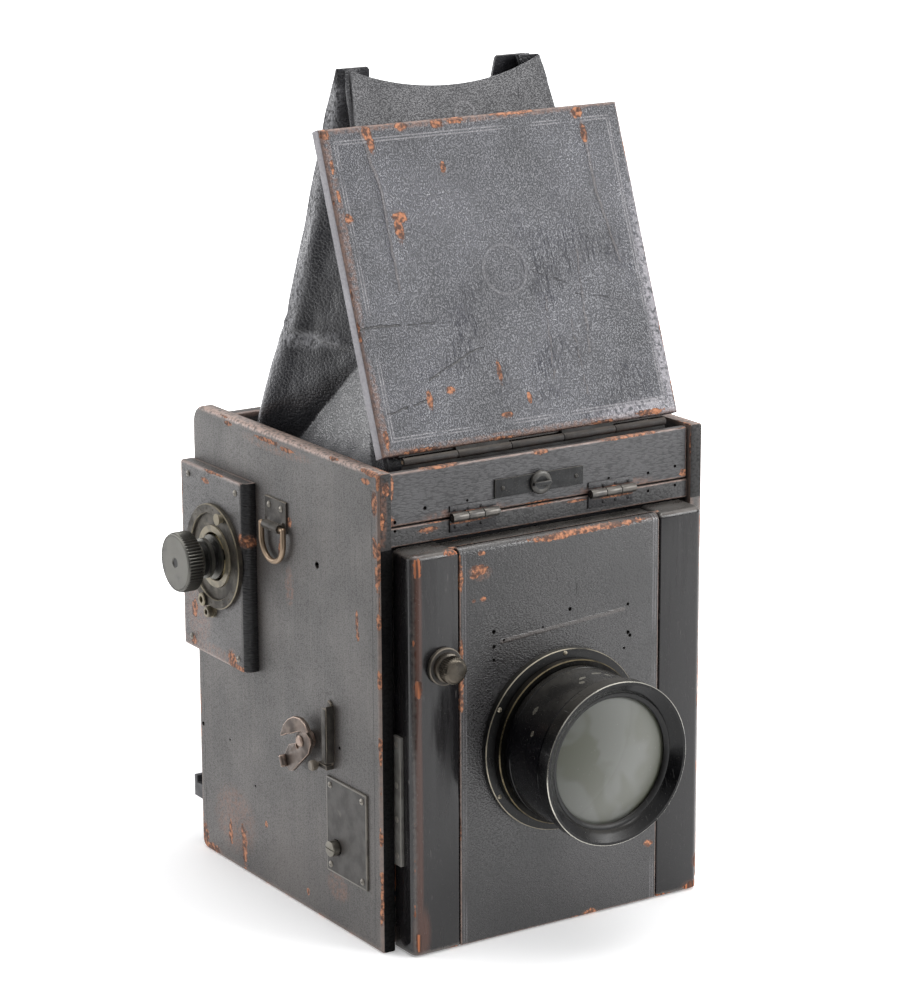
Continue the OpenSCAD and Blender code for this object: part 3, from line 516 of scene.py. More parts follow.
    def knurl(
        self, axis: Axis, centre: Point, span: Flat, inner: float, ridges: int, height: float
    ) -> "Piece":
        """Raises ridges round a grip.

        Args:
            axis: The grip's axis.
            centre: A point on the axis.
            span: Where along the axis the ridges start and end.
            inner: The radius inside which no point moves.
            ridges: How many there are.
            height: Their height, as a share of the grip's radius.

        Returns:
            The piece.
        """
        first, second = (n for n in range(3) if n != axis.value)

        def raised(point: Vector) -> Vector:
            """Moves one point out or in.

            Args:
                point: The point, in millimetres.

            Returns:
                Where the point goes.
            """
            offset = point - Vector(centre)
            offset[axis.value] = 0
            if span[0] < point[axis.value] < span[1] and offset.length > inner:
                angle = math.atan2(offset[second], offset[first]) * ridges
                point = point + offset * height * math.cos(angle)
            return point

        return self.shape(raised)

    def turn(self, matrix: Matrix) -> "Piece":
        """Moves the whole mesh by a matrix whose shift is in metres."""
        self.obj.data.transform(matrix)
        return self

    def mark_edges(self, width: float = 0.9) -> "Piece":
        """Marks the narrow faces along outer edges, for wear, as an attribute.

        Args:
            width: The widest face that counts as an edge.

        Returns:
            The piece.
        """
        mesh = bmesh.new()
        mesh.from_mesh(self.obj.data)
        found = []
        for face in mesh.faces:
            longest = max(edge.calc_length() for edge in face.edges)
            bend = max(edge.calc_face_angle_signed(0) for edge in face.edges)
            narrow = face.calc_area() < width * MM * longest
            found.append(min(1, bend / 0.4) if narrow and bend > 0.05 else 0)
        mesh.free()
        attribute = self.obj.data.attributes.new("edge", "FLOAT", "FACE")
        attribute.data.foreach_set("value", found)
        return self

    def dress(
        self, material: bpy.types.Material, slot: Slot, *nodes: str, sharp: float = 32
    ) -> bpy.types.Object:
        """Gives the finished piece its material and smooth shading.

        Args:
            material: Its material.
            slot: The record's finish that it takes; not used.
            *nodes: The CAD nodes that it stands for.
            sharp: Edges beyond this angle in degrees stay sharp.

        Returns:
            The piece's object.
        """
        self.obj.data.materials.clear()
        self.obj.data.materials.append(material)
        choose(self.obj)
        bpy.ops.object.shade_smooth_by_angle(angle=math.radians(sharp))
        if nodes:
            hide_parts(*nodes)
        log.info("%s: %d faces", self.name, len(self.obj.data.polygons))
        return self.obj

    def done(
        self, material: bpy.types.Material, body: Body, slot: Slot, *nodes: str, sharp: float = 32,
    ) -> bpy.types.Object:
        """Dresses the finished piece and puts it on its body.

        Args:
            material: Its material.
            body: The body that it rides on.
            slot: The record's finish that it takes.
            *nodes: The CAD nodes that it stands for.
            sharp: Edges beyond this angle in degrees stay sharp.

        Returns:
            The finished object.
        """
        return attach(self.dress(material, slot, *nodes, sharp=sharp), body.value)

    def patch(self, material: bpy.types.Material, test: Callable[[Vector, Vector], bool]) -> None:
        """Gives the dressed piece's faces that pass a test another material.

        Args:
            material: The other material.
            test: Takes a face's middle in millimetres and its normal.
        """
        data = self.obj.data
        data.materials.append(material)
        for polygon in data.polygons:
            if test(polygon.center / MM, polygon.normal):
                polygon.material_index = len(data.materials) - 1


def dress_node(node: bpy.types.Object, material: bpy.types.Material) -> None:
    """Gives a CAD node that stays another material.

    Args:
        node: The CAD node's object.
        material: Its new material.
    """
    node.data.materials.clear()
    node.data.materials.append(material)
    log.info("%s: keeps its CAD shape", node.name)


# Shared shader effects, each one a node group


def screen(red: int, green: int, blue: int) -> Colour:
    """Turns a screen colour of 0 to 255 into the linear one that shaders use.

    Args:
        red: How red it is.
        green: How green it is.
        blue: How blue it is.

    Returns:
        The linear colour.
    """
    return tuple(
        c / 12.92 if c <= 0.04045 else ((c + 0.055) / 1.055) ** 2.4
        for c in (red / 255, green / 255, blue / 255)
    )


def brighter(colour: Colour, times: float) -> Colour:
    """Multiplies a colour."""
    return tuple(part * times for part in colour)


def metres(values: Iterable[float]) -> Point:
    """Turns a few millimetres into metres."""
    return tuple(value * MM for value in values)


class Field:
    """A number, place or colour that varies over a surface, so that a finish reads as a sum."""

    def __init__(self, socket: bpy.types.NodeSocket) -> None:
        """Takes the socket that gives the value."""
        self.socket = socket

    @staticmethod
    def feed(socket: bpy.types.NodeSocket, value: Value) -> None:
        """Links a socket to a field, or sets its number, vector or colour.

        Args:
            socket: The socket.
            value: What it is fed with.
        """
        if isinstance(value, Field):
            socket.id_data.links.new(value.socket, socket)
        elif socket.type == "RGBA" and len(value) == 3:
            socket.default_value = (*value, 1)
        else:
            socket.default_value = value

    @staticmethod
    def node(
        tree: bpy.types.NodeTree, kind: str, values: dict[str | int, Value], **settings: object
    ) -> bpy.types.Node:
        """Adds one node to a tree.

        Args:
            tree: The shader tree.
            kind: Blender's name for the node, without ShaderNode.
            values: What its inputs are fed with.
            **settings: The node's own settings.

        Returns:
            The node.
        """
        made = tree.nodes.new(f"ShaderNode{kind}")
        for key, value in settings.items():
            setattr(made, key, value)
        for key, value in values.items():
            Field.feed(made.inputs[key], value)
        return made

    @classmethod
    def source(cls, tree: bpy.types.NodeTree, kind: str, output: str, **settings: str) -> "Field":
        """Reads what a node without inputs gives, such as the place on the piece."""
        return cls(cls.node(tree, kind, {}, **settings).outputs[output])

    def made(
        self, kind: str, values: dict[str | int, Value], output: str | int = 0, **settings: object
    ) -> "Field":
        """Adds a node beside this field and returns one of its outputs."""
        return Field(self.node(self.socket.id_data, kind, values, **settings).outputs[output])

    def math(self, operation: str, *values: Value) -> "Field":
        """Works out a number from this one and others."""
        return self.made("Math", dict(enumerate((self, *values))), operation=operation)

    def __add__(self, other: Value) -> "Field":
        """Adds numbers."""
        return self.math("ADD", other)

    def __radd__(self, other: Value) -> "Field":
        """Adds numbers."""
        return self.math("ADD", other)

    def __sub__(self, other: Value) -> "Field":
        """Subtracts a number."""
        return self.math("SUBTRACT", other)

    def __rsub__(self, other: float) -> "Field":
        """Subtracts this from a plain number."""
        return self.math("MULTIPLY_ADD", -1, other)

    def __mul__(self, other: Value) -> "Field":
        """Multiplies numbers."""
        return self.math("MULTIPLY", other)

    def __truediv__(self, other: Value) -> "Field":
        """Divides by a number."""
        return self.math("DIVIDE", other)

    def __abs__(self) -> "Field":
        """Drops the sign."""
        return self.math("ABSOLUTE")

    def most(self, *others: Value) -> "Field":
        """Takes the greatest of this and others.

        Args:
            *others: The others.

        Returns:
            The greatest.
        """
        found = self
        for other in others:
            found = found.math("MAXIMUM", other)
        return found

    def least(self, *others: Value) -> "Field":
        """Takes the least of this and others.

        Args:
            *others: The others.

        Returns:
            The least.
        """
        found = self
        for other in others:
            found = found.math("MINIMUM", other)
        return found

    def fade(self, low: Value, high: Value) -> "Field":
        """Rises smoothly from 0 at low to 1 at high, or falls where low is the greater."""
        values = {"Value": self, "From Min": low, "From Max": high}
        return self.made("MapRange", values, "Result", interpolation_type="SMOOTHSTEP")

    def between(self, first: Value, second: Value) -> "Field":
        """Mixes two colours, with this as the share of the second."""
        return self.made("Mix", {0: self, 6: first, 7: second}, 2, data_type="RGBA")

    def vector(self, operation: str, *values: Value) -> "Field":
        """Works out a vector from this one, or the number that the operation gives.

        Args:
            operation: Blender's name for it.
            *values: The other vectors.

        Returns:
            The vector or the number.
        """
        output = "Value" if operation in ("LENGTH", "DISTANCE", "DOT_PRODUCT") else "Vector"
        fed = dict(enumerate((self, *values)))
        return self.made("VectorMath", fed, output, operation=operation)

    def scaled(self, size: Value) -> "Field":
        """Makes a vector longer or shorter."""
        return self.made("VectorMath", {0: self, "Scale": size}, operation="SCALE")

    def parts(self) -> list["Field"]:
        """Splits a vector into X, Y and Z."""
        node = self.node(self.socket.id_data, "SeparateXYZ", {0: self})
        return [Field(output) for output in node.outputs]

    def inside(self, centre: "Field", half: "Field") -> list["Field"]:
        """Says how deep a place lies under each pair of a box's sides."""
        return half.vector("SUBTRACT", self.vector("SUBTRACT", centre).vector("ABSOLUTE")).parts()

    def noise(self, scale: Value, detail: float = 3, output: str | int = 0) -> "Field":
        """Cloudy noise from 0 to 1 at this place."""
        values = {"Vector": self, "Scale": scale, "Detail": detail}
        return self.made("TexNoise", values, output)

    def streaks(self, turn: Point, stretch: Point) -> "Field":
        """Noise at this place, drawn out into streaks.

        Args:
            turn: The streaks' direction, as turns in degrees.
            stretch: How fine the noise is along each axis, per metre.

        Returns:
            The noise, from 0 to 1.
        """
        turned = {"Vector": self, "Rotation": [math.radians(a) for a in turn], "Scale": stretch}
        return self.made("Mapping", turned).noise(1, 2)


Fields = dict[str, Field]


@dataclass(frozen=True)
class Effect:
    """A shader effect that several finishes share, kept as one node group."""

    name: str
    needs: dict[str, float | Point]
    gives: tuple[str, ...]
    draw: Callable[[Fields], Fields]

    def group(self) -> bpy.types.NodeTree:
        """Returns the node group, which is built the first time.

        Returns:
            The node group.
        """
        made = bpy.data.node_groups.get(self.name)
        if made is not None:
            return made
        made = bpy.data.node_groups.new(self.name, "ShaderNodeTree")
        for label, default in {"Vector": ORIGIN, **self.needs}.items():
            kind = "NodeSocketVector" if isinstance(default, tuple) else "NodeSocketFloat"
            socket = made.interface.new_socket(name=label, in_out="INPUT", socket_type=kind)
            socket.default_value = default
        for label in self.gives:
            made.interface.new_socket(name=label, in_out="OUTPUT", socket_type="NodeSocketFloat")
        inputs = made.nodes.new("NodeGroupInput").outputs
        result = made.nodes.new("NodeGroupOutput")
        for label, field in self.draw({s.name: Field(s) for s in inputs if s.name}).items():
            Field.feed(result.inputs[label], field)
        return made

    def at(self, place: Field, **values: Value) -> Fields:
        """Puts the group into a material.

        Args:
            place: The place that it reads.
            **values: What its other inputs are fed with.

        Returns:
            Its outputs by name.
        """
        fed = {"Vector": place, **values}
        node = Field.node(place.socket.id_data, "Group", fed, node_tree=self.group())
        return {s.name: Field(s) for s in node.outputs}


def draw_pebbles(given: Fields) -> Fields:
    """Pebbled leather: round grains parted by narrow valleys, with finer pores on them.

    Args:
        given: The group's inputs by name.

    Returns:
        Its outputs by name.
    """
    place, scale = given["Vector"], given["Scale"]
    bent = place.vector("ADD", place.noise(130, 2, "Color").scaled(0.0008))
    cells = bent.made("TexVoronoi", {"Vector": bent, "Scale": scale}, "Distance")
    valleys = cells.fade(0.35, 0.8)
    pores = place.noise(scale * 2.6, 2)
    return {"Height": 1 - valleys + pores * 0.5, "Valleys": valleys}


def draw_crinkles(given: Fields) -> Fields:
    """Sharp crossing ridges where old leather has shrunk and lifted, in patches.

    Args:
        given: The group's inputs by name.

    Returns:
        Its outputs by name.
    """
    place = given["Vector"]
    ridges = [
        abs(place.streaks(turn, stretch) * 2 - 1).fade(0.06, 0)
        for turn, stretch in (((0, 8, 0), (230, 230, 34)), ((0, -25, 20), (190, 190, 60)))
    ]
    return {"Height": ridges[0].most(ridges[1]) * place.noise(28, 2).fade(0.46, 0.6)}


def draw_edge_wear(given: Fields) -> Fields:
    """Wear along the edges of a box: torn in places, rubbed smooth in a wider band.

    Args:
        given: The group's inputs by name.

    Returns:
        Its outputs by name.
    """
    place, width = given["Vector"], given["Width"]
    x, y, z = place.inside(given["Centre"], given["Half"])
    edge = x.least(y).most(x.most(y).least(z))
    fine = place.noise(420)
    reach = place.noise(38).fade(0.5, 0.68) * width * (fine + 0.55) + 0.00001
    torn = (edge / reach).fade(1, 0.75)
    return {"Torn": torn, "Rubbed": (edge / (width * (fine + 0.5))).fade(1.3, 0.2)}


def draw_spot(given: Fields) -> Fields:
    """One ragged spot with a soft rim.

    Args:
        given: The group's inputs by name.

    Returns:
        Its outputs by name.
    """
    place = given["Vector"]
    offset = place.vector("SUBTRACT", given["Middle"])
    far = offset.vector("DIVIDE", given["Reach"]).vector("LENGTH")
    ragged = far + (place.noise(330, 4) - 0.5) * 1.9 + (place.noise(900, 2) - 0.5) * 0.9
    return {"Mask": ragged.fade(1.3, 1.12), "Rim": far.fade(2.1, 0.8)}


def draw_line(given: Fields) -> Fields:
    """A wavering line between two points: a crack, a welt or a seam.

    Args:
        given: The group's inputs by name.

    Returns:
        Its outputs by name.
    """
    place, start = given["Vector"], given["Start"]
    drift = place.noise(140, 2, "Color").vector("SUBTRACT", (0.5, 0.5, 0.5))
    offset = place.vector("ADD", drift.scaled(given["Waver"])).vector("SUBTRACT", start)
    along = given["End"].vector("SUBTRACT", start)
    share = offset.vector("DOT_PRODUCT", along) / along.vector("DOT_PRODUCT", along)
    far = offset.vector("DISTANCE", along.scaled(share.most(0).least(1)))
    return {"Mask": (far / given["Width"]).fade(1, 0.3)}


def draw_tooling(given: Fields) -> Fields:
    """Two fine lines pressed round a rectangle in X and Z, worn away in places.

    Args:
        given: The group's inputs by name.

    Returns:
        Its outputs by name.
    """
    place = given["Vector"]
    x, _, z = place.inside(given["Centre"], given["Half"])
    first, second = (
        abs(x.least(z) - (given["Inset"] + extra)).fade(0.0006, 0.0001) for extra in (0, 0.0015)
    )
    return {"Mask": first.most(second) * place.noise(30).fade(0.36, 0.5)}


def draw_dust(given: Fields) -> Fields:
    """Dust that has settled on faces that look up, thicker in patches.

    Args:
        given: The group's inputs by name.

    Returns:
        Its outputs by name.
    """
    place = given["Vector"]
    normal = Field.source(place.socket.id_data, "TexCoord", "Normal")
    film = normal.parts()[2].fade(0.35, 1) * (place.noise(55, 4).fade(0.3, 0.7) * 0.7 + 0.3)
    grit = place.noise(1500, 2).fade(0.66, 0.74)
    return {"Mask": film.most(grit) * given["Amount"]}


def draw_scratches(given: Fields) -> Fields:
    """Hair scratches in three directions, gathered in patches.

    Args:
        given: The group's inputs by name.

    Returns:
        Its outputs by name.
    """
    place = given["Vector"]
    first, *others = (
        place.streaks(turn, (1400, 60, 110)).fade(0.7, 0.76)
        for turn in ((20, 10, 35), (-35, 50, 5), (65, -15, -40))
    )
    return {"Mask": first.most(*others) * place.noise(45, 2).fade(0.4, 0.65) * given["Amount"]}


def draw_turning(given: Fields) -> Fields:
    """Fine rings left by the lathe round an axis; Across blanks the axis's own direction.

    Args:
        given: The group's inputs by name.

    Returns:
        Its outputs by name.
    """
    offset = given["Vector"].vector("SUBTRACT", given["Centre"])
    radius = offset.vector("MULTIPLY", given["Across"]).vector("LENGTH")
    return {"Height": radius.made("CombineXYZ", {0: radius}).noise(2600)}


def draw_weave(given: Fields) -> Fields:
    """Plain woven threads in X and Z.

    Args:
        given: The group's inputs by name.

    Returns:
        Its outputs by name.
    """
    x, _, z = given["Vector"].parts()
    warp, weft = ((part * given["Threads"]).math("SINE") * 0.5 + 0.5 for part in (x, z))
    return {"Height": warp * weft}


def draw_wood(given: Fields) -> Fields:
    """Wood grain that runs along one of the axes, set by Stretch."""
    return {"Grain": given["Vector"].vector("MULTIPLY", given["Stretch"]).noise(1, 5)}


ORIGIN = (0, 0, 0)
ONES = (1, 1, 1)
PEBBLES = Effect("leather_pebbles", {"Scale": 900}, ("Height", "Valleys"), draw_pebbles)
CRINKLES = Effect("leather_crinkles", {}, ("Height",), draw_crinkles)
BOX = {"Centre": ORIGIN, "Half": ONES}
EDGE_WEAR = Effect("edge_wear", {**BOX, "Width": 0.002}, ("Torn", "Rubbed"), draw_edge_wear)
SPOT = Effect("torn_spot", {"Middle": ORIGIN, "Reach": ONES}, ("Mask", "Rim"), draw_spot)
ENDS = {"Start": ORIGIN, "End": ONES, "Width": 0.001, "Waver": 0.004}
LINE = Effect("wavering_line", ENDS, ("Mask",), draw_line)
TOOLING = Effect("tooled_border", {**BOX, "Inset": 0.005}, ("Mask",), draw_tooling)
DUST = Effect("settled_dust", {"Amount": 0.3}, ("Mask",), draw_dust)
SCRATCHES = Effect("hair_scratches", {"Amount": 0.5}, ("Mask",), draw_scratches)
TURNING = Effect("lathe_rings", {"Centre": ORIGIN, "Across": ONES}, ("Height",), draw_turning)
WEAVE = Effect("plain_weave", {"Threads": 9000}, ("Height",), draw_weave)
WOOD_GRAIN = Effect("wood_grain", {"Stretch": ONES}, ("Grain",), draw_wood)


# Finishes: what each kind of surface is made of


@dataclass(frozen=True)
class Finish:
    """What every finish has: a name, and what its shader is fed with."""

    name: str

    def fields(self, place: Field) -> dict[str, Value]:
        """Gives what each of the shader's inputs is fed with, at a place on the piece."""
        raise NotImplementedError

    def material(self) -> bpy.types.Material:
        """Builds the finish's material.

        Returns:
            The material.
        """
        material = bpy.data.materials.new(self.name)
        material.use_nodes = True
        shader = material.node_tree.nodes["Principled BSDF"]
        place = Field.source(material.node_tree, "TexCoord", "Object")
        for label, value in self.fields(place).items():
            Field.feed(shader.inputs[label], value)
        return material


@dataclass(frozen=True)
class Crack:
    """A line on a covered board: its two ends, its width and how much it wavers."""

    start: Point
    end: Point
    width: float = 0.5
    waver: float = 4


def joined(place: Field, masks: Iterable[Field]) -> Field:
    """Makes one mask of any number of them, even none."""
    return place.made("Math", {0: 0, 1: 0}).most(*masks)


def spotted(place: Field, spots: Iterable[Spot], output: str = "Mask") -> Field:
    """Makes one mask of several spots, or of the rims round them.

    Args:
        place: The place on the piece.
        spots: The spots.
        output: Mask for the spots themselves, or Rim for a soft band round them too.

    Returns:
        The mask.
    """
    return joined(
        place, (SPOT.at(place, Middle=metres(s[:3]), Reach=metres(s[3:]))[output] for s in spots),
    )


def lined(place: Field, cracks: Iterable[Crack]) -> Field:
    """Makes one mask of several lines.

    Args:
        place: The place on the piece.
        cracks: The lines.

    Returns:
        The mask.
    """
    return joined(
        place,
        (
            LINE.at(
                place, Start=metres(crack.start), End=metres(crack.end), Width=crack.width * MM,
                Waver=crack.waver * MM,
            )["Mask"] for crack in cracks
        ),
    )


def bump(height: Field, distance: float) -> Field:
    """Makes a normal of a height of 0 to 1, where 1 measures a distance in millimetres."""
    values = {"Height": height, "Distance": distance * MM, "Strength": 1}
    return height.made("Bump", values, "Normal")


def marked(place: Field) -> Field:
    """Reads how much of an edge the piece was marked with."""
    return Field.source(place.socket.id_data, "Attribute", "Fac", attribute_name="edge")


def dusted(place: Field, colour: Field, amount: float, tint: Colour) -> tuple[Field, Field]:
    """Lays dust over a colour.

    Args:
        place: The place on the piece.
        colour: The clean colour.
        amount: How thick the dust is.
        tint: The dust's colour.

    Returns:
        The dust's mask and the dusty colour.
    """
    dust = DUST.at(place, Amount=amount)["Mask"]
    return dust, dust.between(colour, tint)


@dataclass(frozen=True)
class Leather(Finish):
    """Old leather pasted over a board, torn and rubbed at the board's edges.

    The box is the board in the leather's own directions, which lean back by lean
    degrees round a line along X through hinge. Spots and cracks lie in them too.
    """

    centre: Point
    half: Point
    tint: Colour = screen(28, 27, 28)
    light: Colour = screen(40, 38, 39)
    worn: Colour = screen(150, 124, 112)
    faded_and_highlight: Colour = screen(158, 154, 160)
    rough: float = 0.42
    pebbles: float = 620
    relief: float = 0.05
    valleys: float = 0.35
    stretch: Point = (1, 1, 1.5)
    streaks: float = 0
    sheen: float = 1
    rub: float = 1.6
    dust: float = 0.3
    lean: float = 0
    hinge: Flat = (0, 0)
    border: float = 0
    border_half: Point = ORIGIN
    tooling: float = 0.45
    pressed: tuple[Point, float] | None = None
    creasing: float = 0
    creased: tuple[Spot, ...] = ()
    torn: tuple[Spot, ...] = ()
    stained: tuple[Spot, ...] = ()
    pale: tuple[Spot, ...] = ()
    bands: tuple[Crack, ...] = ()
    cracks: tuple[Crack, ...] = ()
    welts: tuple[Crack, ...] = ()

    def own_place(self, place: Field) -> Field:
        """Turns the place into the leather's own directions.

        Args:
            place: The place on the piece.

        Returns:
            The place in the leather's own directions.
        """
        if not self.lean:
            return place
        angle = math.radians(self.lean)
        shift = Matrix.Rotation(angle, 3, "X") @ Vector((0, *self.hinge)) * -MM
        values = {"Vector": place, "Location": shift, "Rotation": (angle, 0, 0)}
        return place.made("Mapping", values)

    def tooled(self, local: Field) -> Field:
        """Makes the mask of the border's two pressed lines.

        Args:
            local: The place in the leather's own directions.

        Returns:
            The mask.
        """
        if not self.border:
            return joined(local, ())
        sizes = {"Half": metres(self.border_half), "Inset": self.border * MM}
        return TOOLING.at(local, Centre=metres(self.centre), **sizes)["Mask"]

    def ringed(self, local: Field) -> Field:
        """Makes the mask of the pressed ring.

        Args:
            local: The place in the leather's own directions.

        Returns:
            The mask.
        """
        if self.pressed is None:
            return joined(local, ())
        middle, radius = self.pressed
        far = local.vector("DISTANCE", metres(middle)) - radius * MM
        return abs(far).fade(0.0013, 0.0004)

    def fields(self, place: Field) -> dict[str, Value]:
        """Builds the colour from grain, marks, wear, dust, painted shade and painted highlights, and
        the height from the same.

        Args:
            place: The place on the piece.

        Returns:
            What each of the shader's inputs is fed with.
        """
        local = self.own_place(place)
        grain = PEBBLES.at(local.vector("MULTIPLY", self.stretch), Scale=self.pebbles)
        crinkle = joined(local, ())
        if self.creasing:
            crinkle = CRINKLES.at(local)["Height"] * spotted(local, self.creased, "Rim")
        box = {"Centre": metres(self.centre), "Half": metres(self.half)}
        wear = EDGE_WEAR.at(local, **box, Width=self.rub * MM)
        torn = wear["Torn"].most(spotted(local, self.torn))
        crack, welt = lined(local, self.cracks), lined(local, self.welts)
        tooled, ring = self.tooled(local), self.ringed(local)
        cloud, fine = place.noise(26, 5).fade(0.3, 0.72), place.noise(500, 4)
        colour = cloud.between(self.tint, self.light)
        streak = local.streaks(ORIGIN, (800, 800, 16)).fade(0.35, 0.7) * self.streaks
        brown = spotted(local, self.torn + self.stained, "Rim").fade(0.1, 1) * fine.fade(0.3, 0.7)
        faded_and_highlight = spotted(local, self.pale, "Rim").most(lined(local, self.bands))
        flesh = place.noise(480, 5).fade(0.4, 0.64).between(screen(84, 56, 44), screen(186, 124, 88))
        for share, shade in (
            (streak, brighter(self.light, 1.9)),
            # Painted shade: the grain's valleys are darkened.
            (grain["Valleys"] * self.valleys, brighter(self.tint, 0.3)),
            # Painted highlight: the welts are lightened along their ridges. Next, brown rims round torn
            # and stained spots.
            (welt * 0.26, screen(122, 112, 106)), (brown * 0.8, screen(112, 78, 62)),
            (wear["Rubbed"] * (fine + 0.2), self.worn),
            # Pale spots of rubbed leather, and pale bands that are painted highlights.
            (faded_and_highlight * fine.fade(0.36, 0.56) * 0.7, self.faded_and_highlight),
            # Painted highlight: the tooled lines and the pressed ring are lightened along them.
            (tooled * self.tooling, screen(150, 147, 150)), (ring * 0.16, screen(150, 147, 150)),
            (torn, flesh), (crack * 0.85, screen(18, 15, 14)),
        ):
            colour = share.between(colour, shade)
        _, colour = dusted(place, colour, self.dust, screen(128, 122, 116))
        rough = cloud * -0.12 + grain["Valleys"] * 0.25 + fine * 0.16 + (self.rough - 0.04)
        high = grain["Height"] * self.relief + crinkle * self.creasing + torn * -0.3
        high += tooled * -0.05 + crack * -0.4 + ring * 0.13 + welt * 0.16
        return {
            "Base Color": colour, "Roughness": rough.most(torn * 0.85),
            "Normal": bump(high + place.noise(60) * 0.2 + fine * 0.03, 1),
            "Specular IOR Level": self.sheen,
        }


@dataclass(frozen=True)
class Lacquer(Finish):
    """Black polished wood, scratched, and rubbed through to brown wood at its edges."""

    centre: Point
    half: Point
    tint: Colour = screen(20, 19, 20)
    rough: float = 0.16
    rub: float = 3
    torn: tuple[Spot, ...] = ()
    browned: tuple[Spot, ...] = ()
    dust: float = 0.25

    def fields(self, place: Field) -> dict[str, Value]:
        """Builds the colour from brown rims, bare wood, scratches and dust.

        Args:
            place: The place on the piece.

        Returns:
            What each of the shader's inputs is fed with.
        """
        box = {"Centre": metres(self.centre), "Half": metres(self.half)}
        wear = EDGE_WEAR.at(place, **box, Width=self.rub * MM)
        torn = wear["Torn"].most(spotted(place, self.torn))
        rim = spotted(place, self.torn + self.browned, "Rim")
        wood = WOOD_GRAIN.at(place, Stretch=(700, 700, 30))["Grain"].fade(0.4, 0.62)
        cloud = place.noise(16, 4)
        smear = place.streaks((0, 12, 0), (240, 240, 18))
        colour = cloud.between(self.tint, brighter(self.tint, 1.7))
        colour = (rim * 0.62).between(colour, screen(86, 54, 42))
        colour = (wear["Rubbed"] * 0.7).between(colour, screen(108, 102, 98))
        colour = torn.between(colour, wood.between(screen(52, 34, 27), screen(176, 106, 68)))
        colour = SCRATCHES.at(place, Amount=0.5)["Mask"].between(colour, screen(112, 108, 106))
        dust, colour = dusted(place, colour, self.dust, screen(150, 145, 138))
        rough = smear.fade(0.35, 0.75) * 0.2 + self.rough
        return {
            "Base Color": colour, "Roughness": rough.most(torn * 0.75) + dust * 0.6,
            "Normal": bump(cloud * 2.5 - torn + smear * 0.3, 0.1), "Specular IOR Level": 0.5,
        }


@dataclass(frozen=True)
class Metal(Finish):
    """Metal with a worn finish: dull in the hollows, bright on the marked edges."""

    tint: Colour
    tarnish: Colour
    bright: Colour
    rough: float = 0.42
    metallic: float = 0.85
    pitting: float = 0.25
    scratched: float = 0.35
    centre: Point | None = None
    across: Point = (1, 0, 1)
    dust: float = 0.2

    def fields(self, place: Field) -> dict[str, Value]:
        """Builds the colour from tarnish, pits, bright edges, scratches and dust.

        Args:
            place: The place on the piece.

        Returns:
            What each of the shader's inputs is fed with.
        """
        cloud = place.noise(130, 5).fade(0.35, 0.68)
        pits = place.noise(900).fade(0.5, 0.75)
        worn = (marked(place) + (cloud * 0.5 - 0.25)).fade(0.55, 1)
        colour = cloud.between(self.tint, self.tarnish)
        colour = (pits * self.pitting).between(colour, brighter(self.tint, 0.3))
        colour = (worn * 0.8).between(colour, self.bright)
        scratch = SCRATCHES.at(place, Amount=self.scratched)["Mask"]
        dust, colour = dusted(
            place, scratch.between(colour, self.bright), self.dust, screen(140, 132, 120)
        )
        high = pits * -self.pitting + cloud * 0.6
        if self.centre is not None:
            rings = TURNING.at(place, Centre=metres(self.centre), Across=self.across)
            high += rings["Height"] * 0.35
        return {
            "Base Color": colour, "Metallic": dust * -0.7 + pits * -0.3 + self.metallic,
            "Roughness": cloud * 0.18 + worn * -0.15 + dust * 0.5 + self.rough,
            "Normal": bump(high, 0.05),
        }


@dataclass(frozen=True)
class Enamel(Finish):
    """Black lens enamel: glossy, ringed by the lathe, chipped to bare metal."""

    centre: Point
    across: Point = (1, 0, 1)
    tint: Colour = screen(22, 22, 25)
    bare: Colour = screen(196, 190, 172)
    rough: float = 0.2
    chips: float = 0.5
    gloss: float = 0.6
    spots: tuple[Spot, ...] = ()
    dust: float = 0.2

    def fields(self, place: Field) -> dict[str, Value]:
        """Builds the colour from scratches, chips and dust, and the height from lathe rings.

        Args:
            place: The place on the piece.

        Returns:
            What each of the shader's inputs is fed with.
        """
        cloud = place.noise(60, 4)
        worn = (cloud * 0.9 + marked(place)).fade(1.2, 1.5)
        flecks = place.noise(800).fade(0.72, 0.76) * cloud.fade(0.55, 0.7)
        chipped = worn.most(flecks * self.chips, spotted(place, self.spots))
        scratch = SCRATCHES.at(place, Amount=0.4)["Mask"]
        colour = cloud.between(self.tint, brighter(self.tint, 1.6))
        colour = (scratch * 0.6).between(colour, screen(120, 120, 118))
        colour = chipped.between(colour, self.bare)
        dust, colour = dusted(place, colour, self.dust, screen(132, 128, 120))
        rings = TURNING.at(place, Centre=metres(self.centre), Across=self.across)["Height"]
        rough = cloud.fade(0.35, 0.7) * 0.16 + dust * 0.5 + scratch * 0.2
        return {
            "Base Color": colour, "Metallic": chipped * 0.9, "Roughness": rough + self.rough,
            "Normal": bump(cloud * 0.6 + chipped * -0.8 + rings * 0.22, 0.03),
            "Specular IOR Level": self.gloss,
        }


